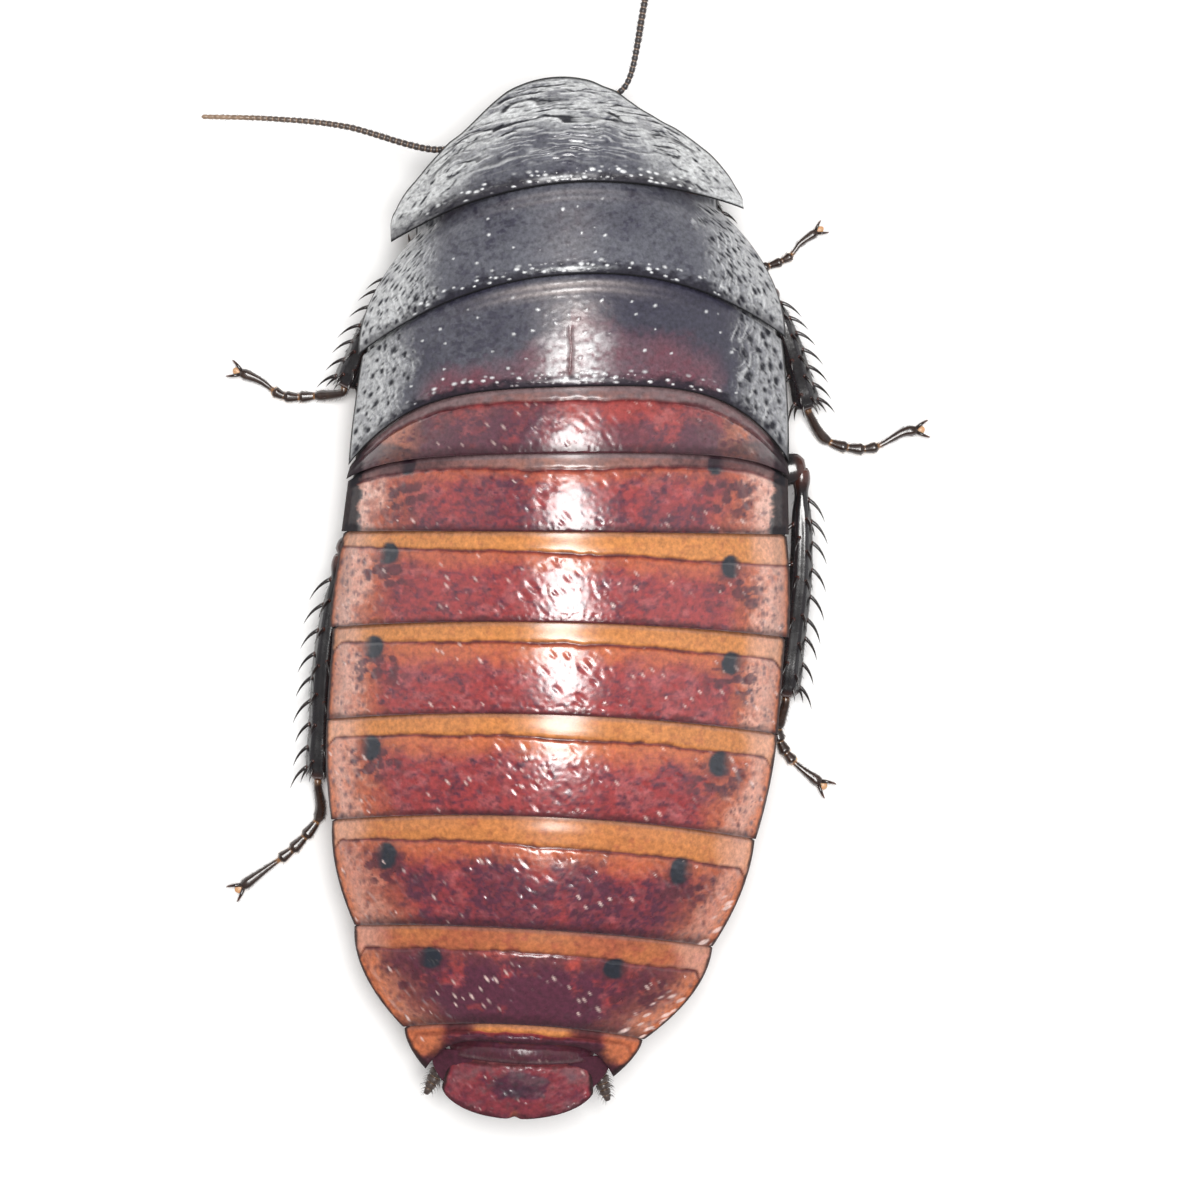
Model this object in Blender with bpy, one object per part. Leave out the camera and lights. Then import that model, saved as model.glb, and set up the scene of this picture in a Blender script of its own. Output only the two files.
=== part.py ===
"""A Madagascar hissing cockroach: adult female, 60 mm long, standing on its own six feet.

The head points to -Y, the animal's left is +X and the feet stand on z = 0.
All lengths in this file are millimetres and are scaled to metres once, by place_mesh.
"""
import math

import bmesh
import bpy
import numpy as np
from mathutils import Matrix, Vector

MM = 0.001

# Floor plan of the body: it curves like a shallow C, with the waist to the animal's right.
NOSE_Y = -20.15
BODY_LENGTH = 60.0
WAIST_X = -0.09
WAIST_STATION = 15.5
NOSE_SWING = 0.87
TAIL_SWING = 3.34
SWING_POWER = 1.5
# Turn of the lines across the body, degrees, at stations counted from the nose.
TURNS = ((0.0, -4.6), (8.5, -4.6), (15.4, -2.3), (22.0, -0.5), (26.0, 0.4), (40.0, 2.2),
         (52.0, 3.4), (60.0, 1.8))

# Outline and height at stations counted from the nose.
HOOD_HALF_WIDTH = 10.3
HOOD_CORNER = 8.4
# Front edge of the hood: distance across to the animal's left, and station.
HOOD_OUTLINE = ((-10.3, 8.4), (-10.1, 7.7), (-9.78, 7.08), (-9.15, 6.0), (-7.88, 4.58), (-6.57, 3.48),
                (-5.27, 2.62), (-4.0, 1.65), (-2.65, 0.75), (-1.32, 0.18), (0.0, 0.0), (1.43, 0.12),
                (2.85, 0.58), (4.3, 1.6), (5.05, 2.23), (6.5, 3.25), (7.6, 4.25), (8.43, 5.1),
                (9.15, 5.83), (9.78, 6.78), (10.18, 7.75), (10.3, 8.4))
CREST = ((0.0, 6.4), (2.0, 8.9), (4.0, 10.7), (6.7, 11.8), (11.9, 12.9), (18.5, 13.5), (26.2, 13.8),
         (36.3, 13.6), (42.0, 12.7), (48.4, 11.1), (54.0, 8.8), (60.0, 5.9))
MARGIN_TOP = ((0.0, 6.4), (8.5, 5.9), (50.0, 5.8), (60.0, 5.6))
BELLY = ((4.0, 4.2), (21.0, 4.2), (26.0, 3.8), (34.0, 3.1), (46.0, 3.0), (56.0, 3.8), (60.0, 4.6))
DOME_POWER = 0.8
BELLY_POWER = 0.5

GAP = 0.2               # between pieces that meet
SPLIT = 5.2             # level between the plates of the back and those of the belly
HOOD_THICKNESS = 0.9
TILE_STEP = 0.3         # each plate's rear edge stands this much over the next plate
BELLY_INSET = 0.7       # the belly plates stop this far inside the margin

# Half width of the body in front of the first plate's rear corner: station, half width.
SHOULDERS = ((8.5, 8.9), (10.0, 10.1), (12.0, 11.3), (13.5, 11.9))

# Each plate of the back behind the hood. Its rear edge: station on the midline, at the corner, and
# the power of the curve between them. Its side: half width in front and behind, and the power.
PLATES = {
    "mesonotum": (11.9, 15.4, 2.2, 9.0, 12.3, 0.5),
    "metanotum": (18.15, 22.1, 4.0, 12.1, 12.65, 0.6),
    "tergite_1": (21.85, 22.95, 6.0, 12.6, 12.75, 1.0),
    "tergite_2": (26.2, 26.1, 2.0, 12.65, 12.85, 1.0),
    "tergite_3": (31.2, 31.8, 2.0, 12.75, 13.2, 0.5),
    "tergite_4": (36.3, 37.2, 2.0, 13.0, 12.95, 1.3),
    "tergite_5": (42.0, 43.1, 2.0, 12.95, 12.2, 1.8),
    "tergite_6": (48.4, 49.2, 2.0, 12.15, 10.3, 1.8),
    "tergite_7": (54.0, 54.8, 2.0, 10.3, 6.95, 1.9),
    "tergite_8": (55.1, 57.1, 5.0, 6.85, 5.4, 1.6),
    "tergite_9": (56.35, 56.25, 2.0, 4.2, 3.95, 1.0),
}
HOOD_REAR = (6.7, 8.4, 1.9)
BELLY_EDGES = (14.8, 21.6, 26.0, 31.4, 36.8, 42.4, 48.6, 56.4)
BELLY_NAMES = ("mesothorax", "metathorax", "sternite_2", "sternite_3", "sternite_4", "sternite_5",
               "sternite_6", "sternite_7")
PROTHORAX_FRONT = 4.95
PROTHORAX_HALF_WIDTH = 7.5
TAIL_HALF_WIDTH = (3.9, 4.35)
TAIL_BASE = 57.6
TAIL_END = 59.7
TAIL_NOTCH = 0.2
TAIL_CLAMP = 0.97

# Head: an upright capsule under the hood, mouth tucked back.
HEAD_STATION = 3.1
HEAD_LEVEL = 4.65
HEAD_HALF = (3.0, 1.6, 2.95)
HEAD_TILT = 12.0
MOUTH_TAPER = 0.3

# Legs, as joints on the floor plan with their levels: root, trochanter, knee, ankle and the toe line.
LEGS = {
    "fore_left": ((2.1, -14.1, 3.3), (4.0, -9.8, 2.3), (7.6, -14.65, 3.2), (8.4, -9.1, 1.25),
                  ((9.2, -8.8), (9.6, -9.9), (9.3, -11.1))),
    "fore_right": ((-1.4, -14.4, 3.3), (-3.7, -10.2, 2.3), (-7.1, -15.9, 3.2), (-9.3, -9.9, 1.25),
                   ((-11.0, -9.7), (-12.7, -10.3), (-13.5, -11.2), (-14.5, -11.9))),
    "mid_left": ((2.1, -7.4, 3.2), (5.0, -3.4, 2.2), (9.6, -9.8, 3.2), (13.3, -2.7, 1.3),
                 ((15.0, -2.2), (16.9, -2.2), (18.3, -3.1), (19.5, -3.6))),
    "mid_right": ((-2.3, -7.3, 3.2), (-5.2, -3.4, 2.2), (-11.5, -8.3, 3.3), (-13.9, -1.4, 1.3),
                  ((-14.9, 0.3), (-16.4, 0.85), (-17.9, 0.8), (-19.5, -0.05), (-20.4, -0.2))),
    "hind_left": ((1.9, -1.3, 3.2), (3.5, 3.1, 2.2), (13.3, 7.1, 3.4), (14.8, 20.3, 1.4),
                  ((14.8, 22.5), (16.2, 24.3), (17.9, 25.6), (19.4, 26.7))),
    "hind_right": ((-2.1, -1.3, 3.2), (-3.3, 3.7, 2.2), (-13.4, 2.1, 3.7), (-12.6, 15.5, 1.4),
                   ((-12.2, 17.7), (-13.0, 19.2), (-14.7, 20.6))),
}
# Half width, half depth of each segment, by pair of legs.
COXA_SIZE = {"fore": (1.45, 0.8), "mid": (1.8, 0.85), "hind": (1.9, 0.85)}
FEMUR_SIZE = {"fore": (1.0, 0.65), "mid": (1.2, 0.7), "hind": (1.4, 0.75)}
TIBIA_SIZE = {"fore": (0.62, 0.55), "mid": (0.8, 0.62), "hind": (0.6, 0.55)}
TROCHANTER_LENGTH = 1.0
KNEE_LENGTH = 0.35
# Free length between the joint and the next segment's start: more where the leg folds sharply.
KNEE_CLEARANCE = {"fore": 1.22, "mid": 1.0, "hind": 0.62}
ANKLE_CLEARANCE = {"fore": 1.05, "mid": 1.1, "hind": 0.6}
SPINE_LENGTH = {"fore": 1.2, "mid": 1.7, "hind": 1.85}
SPINES_PER_ROW = {"fore": 3, "mid": 4, "hind": 5}
TIBIA_BOW = {"fore": 0.1, "mid": 0.15, "hind": 0.35}
TOE_FLAT = 0.05         # depth of the flats the feet stand on
TOE_HALF = {"fore": 0.36, "mid": 0.43, "hind": 0.45}
TOE_ENDS = (0.0, 0.36, 0.53, 0.67, 0.8, 1.0)
CLAW_LENGTH = 1.05

ANTENNA_BASE = 0.34
ANTENNA_TIP = 0.25

BLACK_SHELL = (0.012, 0.012, 0.014)
GRAPHITE = (0.045, 0.046, 0.052)
CHARCOAL = (0.04, 0.03, 0.03)
MAROON = (0.14, 0.035, 0.025)
ORANGE_BROWN = (0.4, 0.13, 0.04)
AMBER = (0.35, 0.17, 0.06)
BELLY_BROWN = (0.12, 0.035, 0.015)
EYE_BLACK = (0.01, 0.008, 0.01)
TARSUS_BROWN = (0.035, 0.02, 0.015)
CERCUS_GREY = (0.09, 0.07, 0.06)


def smooth(stations, at):
    """Cubic Hermite curve through (station, value) pairs."""
    xs = np.array([pair[0] for pair in stations])
    ys = np.array([pair[1] for pair in stations])
    slopes = np.gradient(ys, xs)
    at = min(max(at, xs[0]), xs[-1])
    k = min(int(np.searchsorted(xs, at, side="right")) - 1, len(xs) - 2)
    span = xs[k + 1] - xs[k]
    t = (at - xs[k]) / span
    rise = ys[k] * (1 + 2 * t) * (1 - t) ** 2 + ys[k + 1] * t * t * (3 - 2 * t)
    return float(rise + span * (slopes[k] * t * (1 - t) ** 2 - slopes[k + 1] * t * t * (1 - t)))


def axis_x(station):
    """Sideways place of the body's midline: a swing that grows both ways from the waist."""
    beyond = station - WAIST_STATION
    if beyond < 0:
        return WAIST_X + NOSE_SWING * (-beyond / WAIST_STATION) ** SWING_POWER
    return WAIST_X + TAIL_SWING * (beyond / (BODY_LENGTH - WAIST_STATION)) ** SWING_POWER


def on_body(across, station, level):
    """Point at a distance to the animal's left of the midline, at a station from the nose."""
    turn = math.radians(smooth(TURNS, station))
    return Vector((axis_x(station) + across * math.cos(turn),
                   NOSE_Y + station - across * math.sin(turn), level))


def hood_front(u):
    """Station of the hood's front edge at u of its half width."""
    return smooth(HOOD_OUTLINE, u * HOOD_HALF_WIDTH)


def hood_half(across, station):
    """Half width of the hood at a station, on the side that the point lies on."""
    side = math.copysign(1.0, across)
    stations, reaches = zip(*sorted((place, side * out) for out, place in HOOD_OUTLINE if side * out >= 0))
    return max(float(np.interp(station, stations, reaches)), abs(across))


def edge_line(middle, corner, power):
    """Function of u for the station of an edge across the body."""
    return lambda u: middle + (corner - middle) * abs(u) ** power


def behind(edge, share=1.0):
    """The same edge, one gap further back, for a plate that spans only a share of its width."""
    return lambda u: edge(share * u) + GAP


def plate_half(name, t):
    """Half width of a plate at t, from its front corner (0) to its rear corner (1)."""
    first, last, power = PLATES[name][3:]
    if last > first and power < 1:
        return last - (last - first) * (1 - t) ** (1 / power)
    return first + (last - first) * t ** power


def body_half(station):
    """Half width of the back at any station, read from the rear corners of the wide plates."""
    corners = [(plate[1], plate[4]) for name, plate in PLATES.items() if name != "tergite_9"]
    return smooth([*SHOULDERS, *corners], station)


def dome(across, station, half):
    """Level of the back: a flattened arch from margin to margin."""
    reach = min(1.0, abs(across) / max(half, 0.01))
    edge = smooth(MARGIN_TOP, station)
    arch = max(0.0, math.cos(math.pi / 2 * reach)) ** DOME_POWER
    return edge + (smooth(CREST, station) - edge) * arch


def keel(across, station, reach_limit):
    """Level of the belly: a shallow bowl under the split level."""
    reach = min(1.0, abs(across) / reach_limit)
    bowl = max(0.0, math.cos(math.pi / 2 * reach)) ** BELLY_POWER
    top = SPLIT - GAP
    edge = top - 0.35
    return edge - (edge - smooth(BELLY, station)) * bowl


def material(name, colour, roughness):
    """Principled material; chitin has no metal in it."""
    found = bpy.data.materials.get(name)
    if found:
        return found
    made = bpy.data.materials.new(name)
    made.use_nodes = True
    shader = made.node_tree.nodes["Principled BSDF"]
    shader.inputs["Base Color"].default_value = (*colour, 1.0)
    shader.inputs["Roughness"].default_value = roughness
    shader.inputs["Metallic"].default_value = 0.0
    made.diffuse_color = (*colour, 1.0)
    return made


def place_mesh(bm, name, finish, collection, smooth_angle=40.0):
    """Scale a finished bmesh to metres and link it as one object."""
    bmesh.ops.recalc_face_normals(bm, faces=bm.faces[:])
    if bm.calc_volume(signed=True) < 0:
        bmesh.ops.reverse_faces(bm, faces=bm.faces[:])
    bmesh.ops.scale(bm, vec=(MM, MM, MM), verts=bm.verts[:])
    mesh = bpy.data.meshes.new(name)
    bm.to_mesh(mesh)
    bm.free()
    mesh.shade_smooth()
    mesh.set_sharp_from_angle(angle=math.radians(smooth_angle))
    made = bpy.data.objects.new(name, mesh)
    if finish:
        mesh.materials.append(finish)
    collection.objects.link(made)
    return made


def slab(name, columns, rows, point_at, finish, collection, flat_side=None):
    """A grid drawn up into a slab; point_at(u, t, is_top) places its points, u -1..1 and t 0..1.

    flat_side, "top" or "bottom", names the side that ends up level: it becomes one face.
    """
    bm = bmesh.new()
    bmesh.ops.create_grid(bm, x_segments=columns, y_segments=rows, size=1.0)
    drawn = bmesh.ops.extrude_face_region(bm, geom=bm.faces[:])
    raised = [item for item in drawn["geom"] if isinstance(item, bmesh.types.BMVert)]
    bmesh.ops.translate(bm, vec=(0, 0, 1), verts=raised)
    if flat_side:
        level = 1.0 if flat_side == "top" else 0.0
        side = [face for face in bm.faces if all(abs(vert.co.z - level) < 0.5 for vert in face.verts)]
        bmesh.ops.dissolve_faces(bm, faces=side)
    for vert in bm.verts:
        vert.co = point_at(vert.co.x, (vert.co.y + 1) / 2, vert.co.z > 0.5)
    return place_mesh(bm, name, finish, collection)


def back_plate(name, front, rear, half_at, columns, rows, finish, collection):
    """One plate of the back: domed on top, flat below at the split level."""
    def point_at(u, t, is_top):
        station = front(u) + (rear(u) - front(u)) * t
        half = half_at(t)
        level = dome(u * half, station, half) + TILE_STEP * (t - 0.5) if is_top else SPLIT
        return on_body(u * half, station, level)
    return slab(name, columns, rows, point_at, finish, collection, flat_side="bottom")


def make_pronotum(finish, collection):
    """The hood: an arched shell whose front edge follows the outline."""
    clamp = 0.985
    rear = edge_line(*HOOD_REAR)

    def point_at(u, t, is_top):
        u = clamp * math.sin(math.pi / 2 * u)
        station = hood_front(u) + (rear(u) - hood_front(u)) * t
        across = u * HOOD_HALF_WIDTH
        level = dome(across, station, hood_half(across, station)) + TILE_STEP * (t - 0.5)
        return on_body(across, station, level if is_top else level - HOOD_THICKNESS)
    return slab("pronotum", 16, 5, point_at, finish, collection)


def make_prothorax(finish, collection):
    """The block under the hood that carries the head and the fore coxae."""
    rear = edge_line(*HOOD_REAR)

    def point_at(u, t, is_top):
        across = u * PROTHORAX_HALF_WIDTH
        edge = rear(across / HOOD_HALF_WIDTH) - GAP / 2
        station = PROTHORAX_FRONT + (edge - PROTHORAX_FRONT) * t
        roof = dome(across, station, hood_half(across, station))
        ceiling = roof - TILE_STEP / 2 - HOOD_THICKNESS - GAP - 0.1
        if is_top:
            return on_body(across, station, ceiling)
        return on_body(across, station, keel(across, station, PROTHORAX_HALF_WIDTH))
    return slab("prothorax", 10, 2, point_at, finish, collection)


def make_tail(finish, collection):
    """The last tergite: a rounded flap, widest behind its middle, with a small notch."""
    first, last = TAIL_HALF_WIDTH

    def tail_end(u):
        share = math.sqrt(1 - (TAIL_CLAMP * u) ** 2)
        notch = TAIL_NOTCH * math.exp(-(u / 0.14) ** 2)
        return TAIL_BASE + (TAIL_END - TAIL_BASE) * share - notch
    back_plate("tergite_10", behind(edge_line(*PLATES["tergite_9"][:3])), tail_end,
               lambda t: first + (last - first) * math.sqrt(t), 12, 3, finish, collection)


def make_back(collection):
    """Pronotum, mesonotum, metanotum and the ten tergites."""
    graphite = material("graphite_shell", GRAPHITE, 0.35)
    maroon = material("maroon_shell", MAROON, 0.4)
    striped = material("orange_brown_shell", ORANGE_BROWN, 0.4)
    finishes = {"mesonotum": graphite, "metanotum": material("charcoal_shell", CHARCOAL, 0.35),
                "tergite_1": maroon}
    grids = {"mesonotum": (14, 4), "metanotum": (14, 3), "tergite_1": (14, 2), "tergite_7": (12, 4),
             "tergite_8": (10, 2), "tergite_9": (10, 1)}
    make_pronotum(graphite, collection)
    front = behind(edge_line(*HOOD_REAR))
    for name, plate in PLATES.items():
        rear = edge_line(*plate[:3])
        columns, rows = grids.get(name, (12, 3))
        back_plate(name, front, rear, lambda t, name=name: plate_half(name, t), columns, rows,
                   finishes.get(name, striped), collection)
        is_narrower = name == "tergite_8"
        front = behind(rear, PLATES["tergite_9"][3] / plate[4] if is_narrower else 1.0)
    make_tail(maroon, collection)


def make_belly(collection):
    """Prothorax, the two rear thorax segments and the sternites."""
    brown = material("belly_brown", BELLY_BROWN, 0.4)
    make_prothorax(brown, collection)
    front = HOOD_CORNER + GAP
    for name, rear in zip(BELLY_NAMES, BELLY_EDGES):
        start = front
        is_last = rear == BELLY_EDGES[-1]

        def point_at(u, t, is_top, start=start, rear=rear, is_last=is_last):
            end = rear - (2.0 * u * u if is_last else 0.0)
            station = start + (end - start) * t
            reach = body_half(station) - BELLY_INSET
            across = u * reach
            level = SPLIT - GAP if is_top else keel(across, station, reach)
            return on_body(across, station, level)
        slab(name, 8, 2, point_at, brown, collection, flat_side="top")
        front = rear + GAP


def head_point(direction, lift=0.0):
    """Point of the head's skin in a direction from its middle, lifted off it by a distance."""
    a, b, c = direction
    pinch = 1 - MOUTH_TAPER * max(0.0, -c) ** 1.3
    local = Vector((a * (HEAD_HALF[0] + lift) * pinch, b * (HEAD_HALF[1] + lift),
                    c * (HEAD_HALF[2] + lift)))
    local.rotate(Matrix.Rotation(math.radians(HEAD_TILT), 3, "X"))
    return on_body(local.x, HEAD_STATION + local.y, HEAD_LEVEL + local.z)


def compass(azimuth, elevation):
    """Unit direction: azimuth in degrees from straight ahead towards the animal's left."""
    azimuth, elevation = math.radians(azimuth), math.radians(elevation)
    return (math.sin(azimuth) * math.cos(elevation), -math.cos(azimuth) * math.cos(elevation),
            math.sin(elevation))


def make_head(collection):
    """Head capsule, kidney-shaped eyes and the lip plate."""
    bm = bmesh.new()
    bmesh.ops.create_uvsphere(bm, u_segments=14, v_segments=9, radius=1.0)
    for vert in bm.verts:
        vert.co = head_point(vert.co.normalized())
    place_mesh(bm, "head", material("head_black", BLACK_SHELL, 0.3), collection)
    for side, name in ((1, "eye_left"), (-1, "eye_right")):
        def eye_at(u, t, is_top, side=side):
            v = 2 * t - 1
            direction = compass(side * (64 + 23 * u * (1 - 0.25 * v * v) + 9 * v * v), 16 + 28 * v)
            bulge = 0.42 * math.sqrt(max(0.0, (1 - u * u) * (1 - v * v)))
            return head_point(direction, 0.34 + bulge if is_top else 0.16)
        slab(name, 4, 5, eye_at, material("eye_black", EYE_BLACK, 0.15), collection)

    def lip_at(u, t, is_top):
        direction = compass(26 * u * (1 - 0.35 * t), -28 - 44 * t)
        return head_point(direction, 0.62 - 0.25 * u * u if is_top else 0.14)
    slab("labrum", 4, 3, lip_at, material("amber_lip", AMBER, 0.4), collection)


def smooth_path(points, count):
    """Catmull-Rom curve through a few points, as evenly parametrised samples."""
    ends = [points[0] * 2 - points[1]] + list(points) + [points[-1] * 2 - points[-2]]
    samples = []
    for step in range(count):
        at = step / (count - 1) * (len(points) - 1)
        k = min(int(at), len(points) - 2)
        t = at - k
        p0, p1, p2, p3 = ends[k:k + 4]
        samples.append(0.5 * ((2 * p1) + (p2 - p0) * t + (2 * p0 - 5 * p1 + 4 * p2 - p3) * t * t
                              + (3 * p1 - p0 - 3 * p2 + p3) * t ** 3))
    return samples


def limb_frame(path, k):
    """Direction along the path, level direction across it and the third one, at sample k."""
    ahead = (path[min(k + 1, len(path) - 1)] - path[max(k - 1, 0)]).normalized()
    across = ahead.cross(Vector((0, 0, 1))).normalized()
    return ahead, across, across.cross(ahead)


def limb_mesh(path, widths, depths, sides):
    """Loft of ellipses along a path: a half width and a half depth for each sample."""
    bm = bmesh.new()
    rings = []
    for k, (middle, width, depth) in enumerate(zip(path, widths, depths)):
        ahead, across, lift = limb_frame(path, k)
        ring = []
        for corner in range(sides):
            angle = 2 * math.pi * (corner + 0.5) / sides
            ring.append(bm.verts.new(middle + across * width * math.cos(angle)
                                     + lift * depth * math.sin(angle)))
        rings.append(ring)
    for ring, following in zip(rings, rings[1:]):
        for corner in range(sides):
            after = (corner + 1) % sides
            bm.faces.new((ring[corner], ring[after], following[after], following[corner]))
    bm.faces.new(rings[0])
    bm.faces.new(rings[-1])
    return bm


def spine_into(bm, base, tip, radius):
    """Add one spine: a four-sided cone from a base point to its tip."""
    along = tip - base
    turn = along.to_track_quat("Z", "Y").to_matrix().to_4x4()
    bmesh.ops.create_cone(bm, cap_ends=True, segments=4, radius1=radius, radius2=0.0,
                          depth=along.length, matrix=Matrix.Translation(base + along / 2) @ turn)


def unite(target, bm, name, cutters):
    """Join the cones of a bmesh to a target with one Boolean union."""
    guide = place_mesh(bm, name, None, cutters)
    guide.hide_render = True
    guide.display_type = "WIRE"
    union = target.modifiers.new("union", "BOOLEAN")
    union.operation = "UNION"
    union.solver = "EXACT"
    union.use_self = True
    union.object = guide


def make_coxa(leg, pair, root, hip, finish, collection):
    """Broad flattened segment that lies against the thorax."""
    width, depth = COXA_SIZE[pair]
    path = smooth_path([root, root.lerp(hip, 0.5) + Vector((0, 0, 0.05)), root.lerp(hip, 0.89)], 6)
    shares = (0.6, 0.95, 1.0, 0.85, 0.6, 0.32)
    bm = limb_mesh(path, [width * s for s in shares], [depth * s for s in shares], 8)
    place_mesh(bm, f"coxa_{leg}", finish, collection)


def make_femur(leg, pair, hip, knee, finish, collection):
    """Deep, flattened thigh with a rounded knee."""
    width, depth = FEMUR_SIZE[pair]
    ahead = (knee - hip).normalized()
    start = hip + ahead * TROCHANTER_LENGTH
    end = knee - ahead * KNEE_LENGTH
    path = smooth_path([start, start.lerp(end, 0.5), end], 7)
    shares = (0.4, 0.8, 1.0, 1.0, 0.86, 0.68, 0.36)
    depths = (0.5, 0.85, 1.0, 1.0, 0.95, 0.9, 0.55)
    bm = limb_mesh(path, [width * s for s in shares], [depth * s for s in depths], 8)
    place_mesh(bm, f"femur_{leg}", finish, collection)


def tibia_path(pair, knee, ankle, outward):
    """Shin line, bowed outwards."""
    start = knee + (ankle - knee).normalized() * KNEE_CLEARANCE[pair]
    middle = start.lerp(ankle, 0.45) + outward * TIBIA_BOW[pair] + Vector((0, 0, 0.15))
    return smooth_path([start, middle, ankle], 8)


def make_tibia(leg, pair, path, outward, finish, collection, cutters):
    """Shin with rows of spines along it and a ring of spurs at the ankle."""
    width, depth = TIBIA_SIZE[pair]
    shares = (0.5, 0.85, 0.95, 1.0, 1.0, 1.0, 1.05, 0.8)
    bm = limb_mesh(path, [width * s for s in shares], [depth * s for s in shares], 8)
    shin = place_mesh(bm, f"tibia_{leg}", finish, collection)
    length = SPINE_LENGTH[pair]
    count = SPINES_PER_ROW[pair]
    spines = bmesh.new()
    # Rows as (share to the outside, share upwards, length share, offset along the shin).
    rows = ((1.0, 0.15, 1.0, 0.16), (0.55, 0.8, 0.7, 0.26), (-1.0, 0.25, 0.8, 0.3))
    for out_share, up_share, share, start in rows:
        for number in range(count):
            at = start + (0.86 - start) * number / max(count - 1, 1)
            k = min(int(at * (len(path) - 1)), len(path) - 2)
            middle = path[k].lerp(path[k + 1], at * (len(path) - 1) - k)
            ahead = (path[k + 1] - path[k]).normalized()
            sideways = (outward * out_share + Vector((0, 0, up_share))).normalized()
            sideways = (sideways - ahead * sideways.dot(ahead)).normalized()
            reach = length * share * (1.0 if number % 2 == 0 else 0.72)
            base = middle + sideways * width * 0.45
            spine_into(spines, base, base + (sideways * 0.8 + ahead * 0.62) * reach, 0.27)
    ahead = (path[-1] - path[-2]).normalized()
    for angle in (20, 95, 160, 215, 325):
        turn = math.radians(angle)
        sideways = outward * math.cos(turn) + Vector((0, 0, 1)) * math.sin(turn)
        base = path[-2].lerp(path[-1], 0.6) + sideways * depth * 0.4
        tip = base + (sideways * 0.55 + ahead * 0.8) * length * 0.66
        tip.z = max(tip.z, 0.15)
        spine_into(spines, base, tip, 0.25)
    unite(shin, spines, f"spines_{leg}", cutters)


def make_tarsus(leg, pair, ankle, toes, shin_ahead, finish, collection, cutters):
    """Foot of five segments, flat where it stands on the floor, with two claws."""
    half = TOE_HALF[pair]
    start = ankle + shin_ahead * ANKLE_CLEARANCE[pair]
    points = [start] + [Vector((x, y, half - TOE_FLAT)) for x, y in toes]
    path, widths, depths = [], [], []
    fine = smooth_path(points, 101)
    for number, (begin, end) in enumerate(zip(TOE_ENDS, TOE_ENDS[1:])):
        for share, size in ((0.06, 0.68), (0.72, 1.05)):
            path.append(fine[round(100 * (begin + (end - begin) * share))])
            widths.append(half * size * (0.85 if number == 4 else 1.0))
            depths.append(half * size)
    path.append(fine[-1])
    widths.append(half * 0.6)
    depths.append(half * 0.6)
    bm = limb_mesh(path, widths, depths, 8)
    cut = bmesh.ops.bisect_plane(bm, geom=bm.verts[:] + bm.edges[:] + bm.faces[:], dist=1e-5,
                                 plane_co=(0, 0, 0), plane_no=(0, 0, -1), clear_outer=True)
    open_edges = [edge for edge in bm.edges if edge.is_boundary]
    bmesh.ops.holes_fill(bm, edges=open_edges, sides=0)
    foot = place_mesh(bm, f"tarsus_{leg}", finish, collection)
    ahead = (fine[-1] - fine[-4]).normalized()
    across = ahead.cross(Vector((0, 0, 1))).normalized()
    claws = bmesh.new()
    for side in (1, -1):
        base = fine[-3] + across * side * 0.1
        tip = base + (ahead * 0.88 + across * side * 0.48) * CLAW_LENGTH
        tip.z = 0.16
        spine_into(claws, base, tip, 0.25)
    unite(foot, claws, f"claws_{leg}", cutters)


def make_legs(collection, cutters):
    """Six legs of four segments each, from the joints in LEGS."""
    black = material("leg_black", BLACK_SHELL, 0.25)
    brown = material("tarsus_brown", TARSUS_BROWN, 0.35)
    for leg, (root, hip, knee, ankle, toes) in LEGS.items():
        pair = leg.split("_")[0]
        root, hip, knee, ankle = (Vector(joint) for joint in (root, hip, knee, ankle))
        outward = Vector((1.0 if leg.endswith("left") else -1.0, 0, 0))
        make_coxa(leg, pair, root, hip, black, collection)
        make_femur(leg, pair, hip, knee, black, collection)
        shin = tibia_path(pair, knee, ankle, outward)
        make_tibia(leg, pair, shin, outward, black, collection, cutters)
        make_tarsus(leg, pair, ankle, toes, (shin[-1] - shin[-2]).normalized(), brown, collection, cutters)


def make_feeler(name, points, radii, count, finish, collection):
    """Tapering tube through a few points: a poly curve with a round bevel."""
    samples = smooth_path([Vector(point) for point in points], count)
    curve = bpy.data.curves.new(name, "CURVE")
    curve.dimensions = "3D"
    curve.bevel_depth = MM
    curve.bevel_resolution = 2
    curve.use_fill_caps = True
    spline = curve.splines.new("POLY")
    spline.points.add(count - 1)
    for number, (point, sample) in enumerate(zip(spline.points, samples)):
        point.co = (*(sample * MM), 1.0)
        point.radius = smooth(radii, number / (count - 1))
    curve.materials.append(finish)
    collection.objects.link(bpy.data.objects.new(name, curve))


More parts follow.
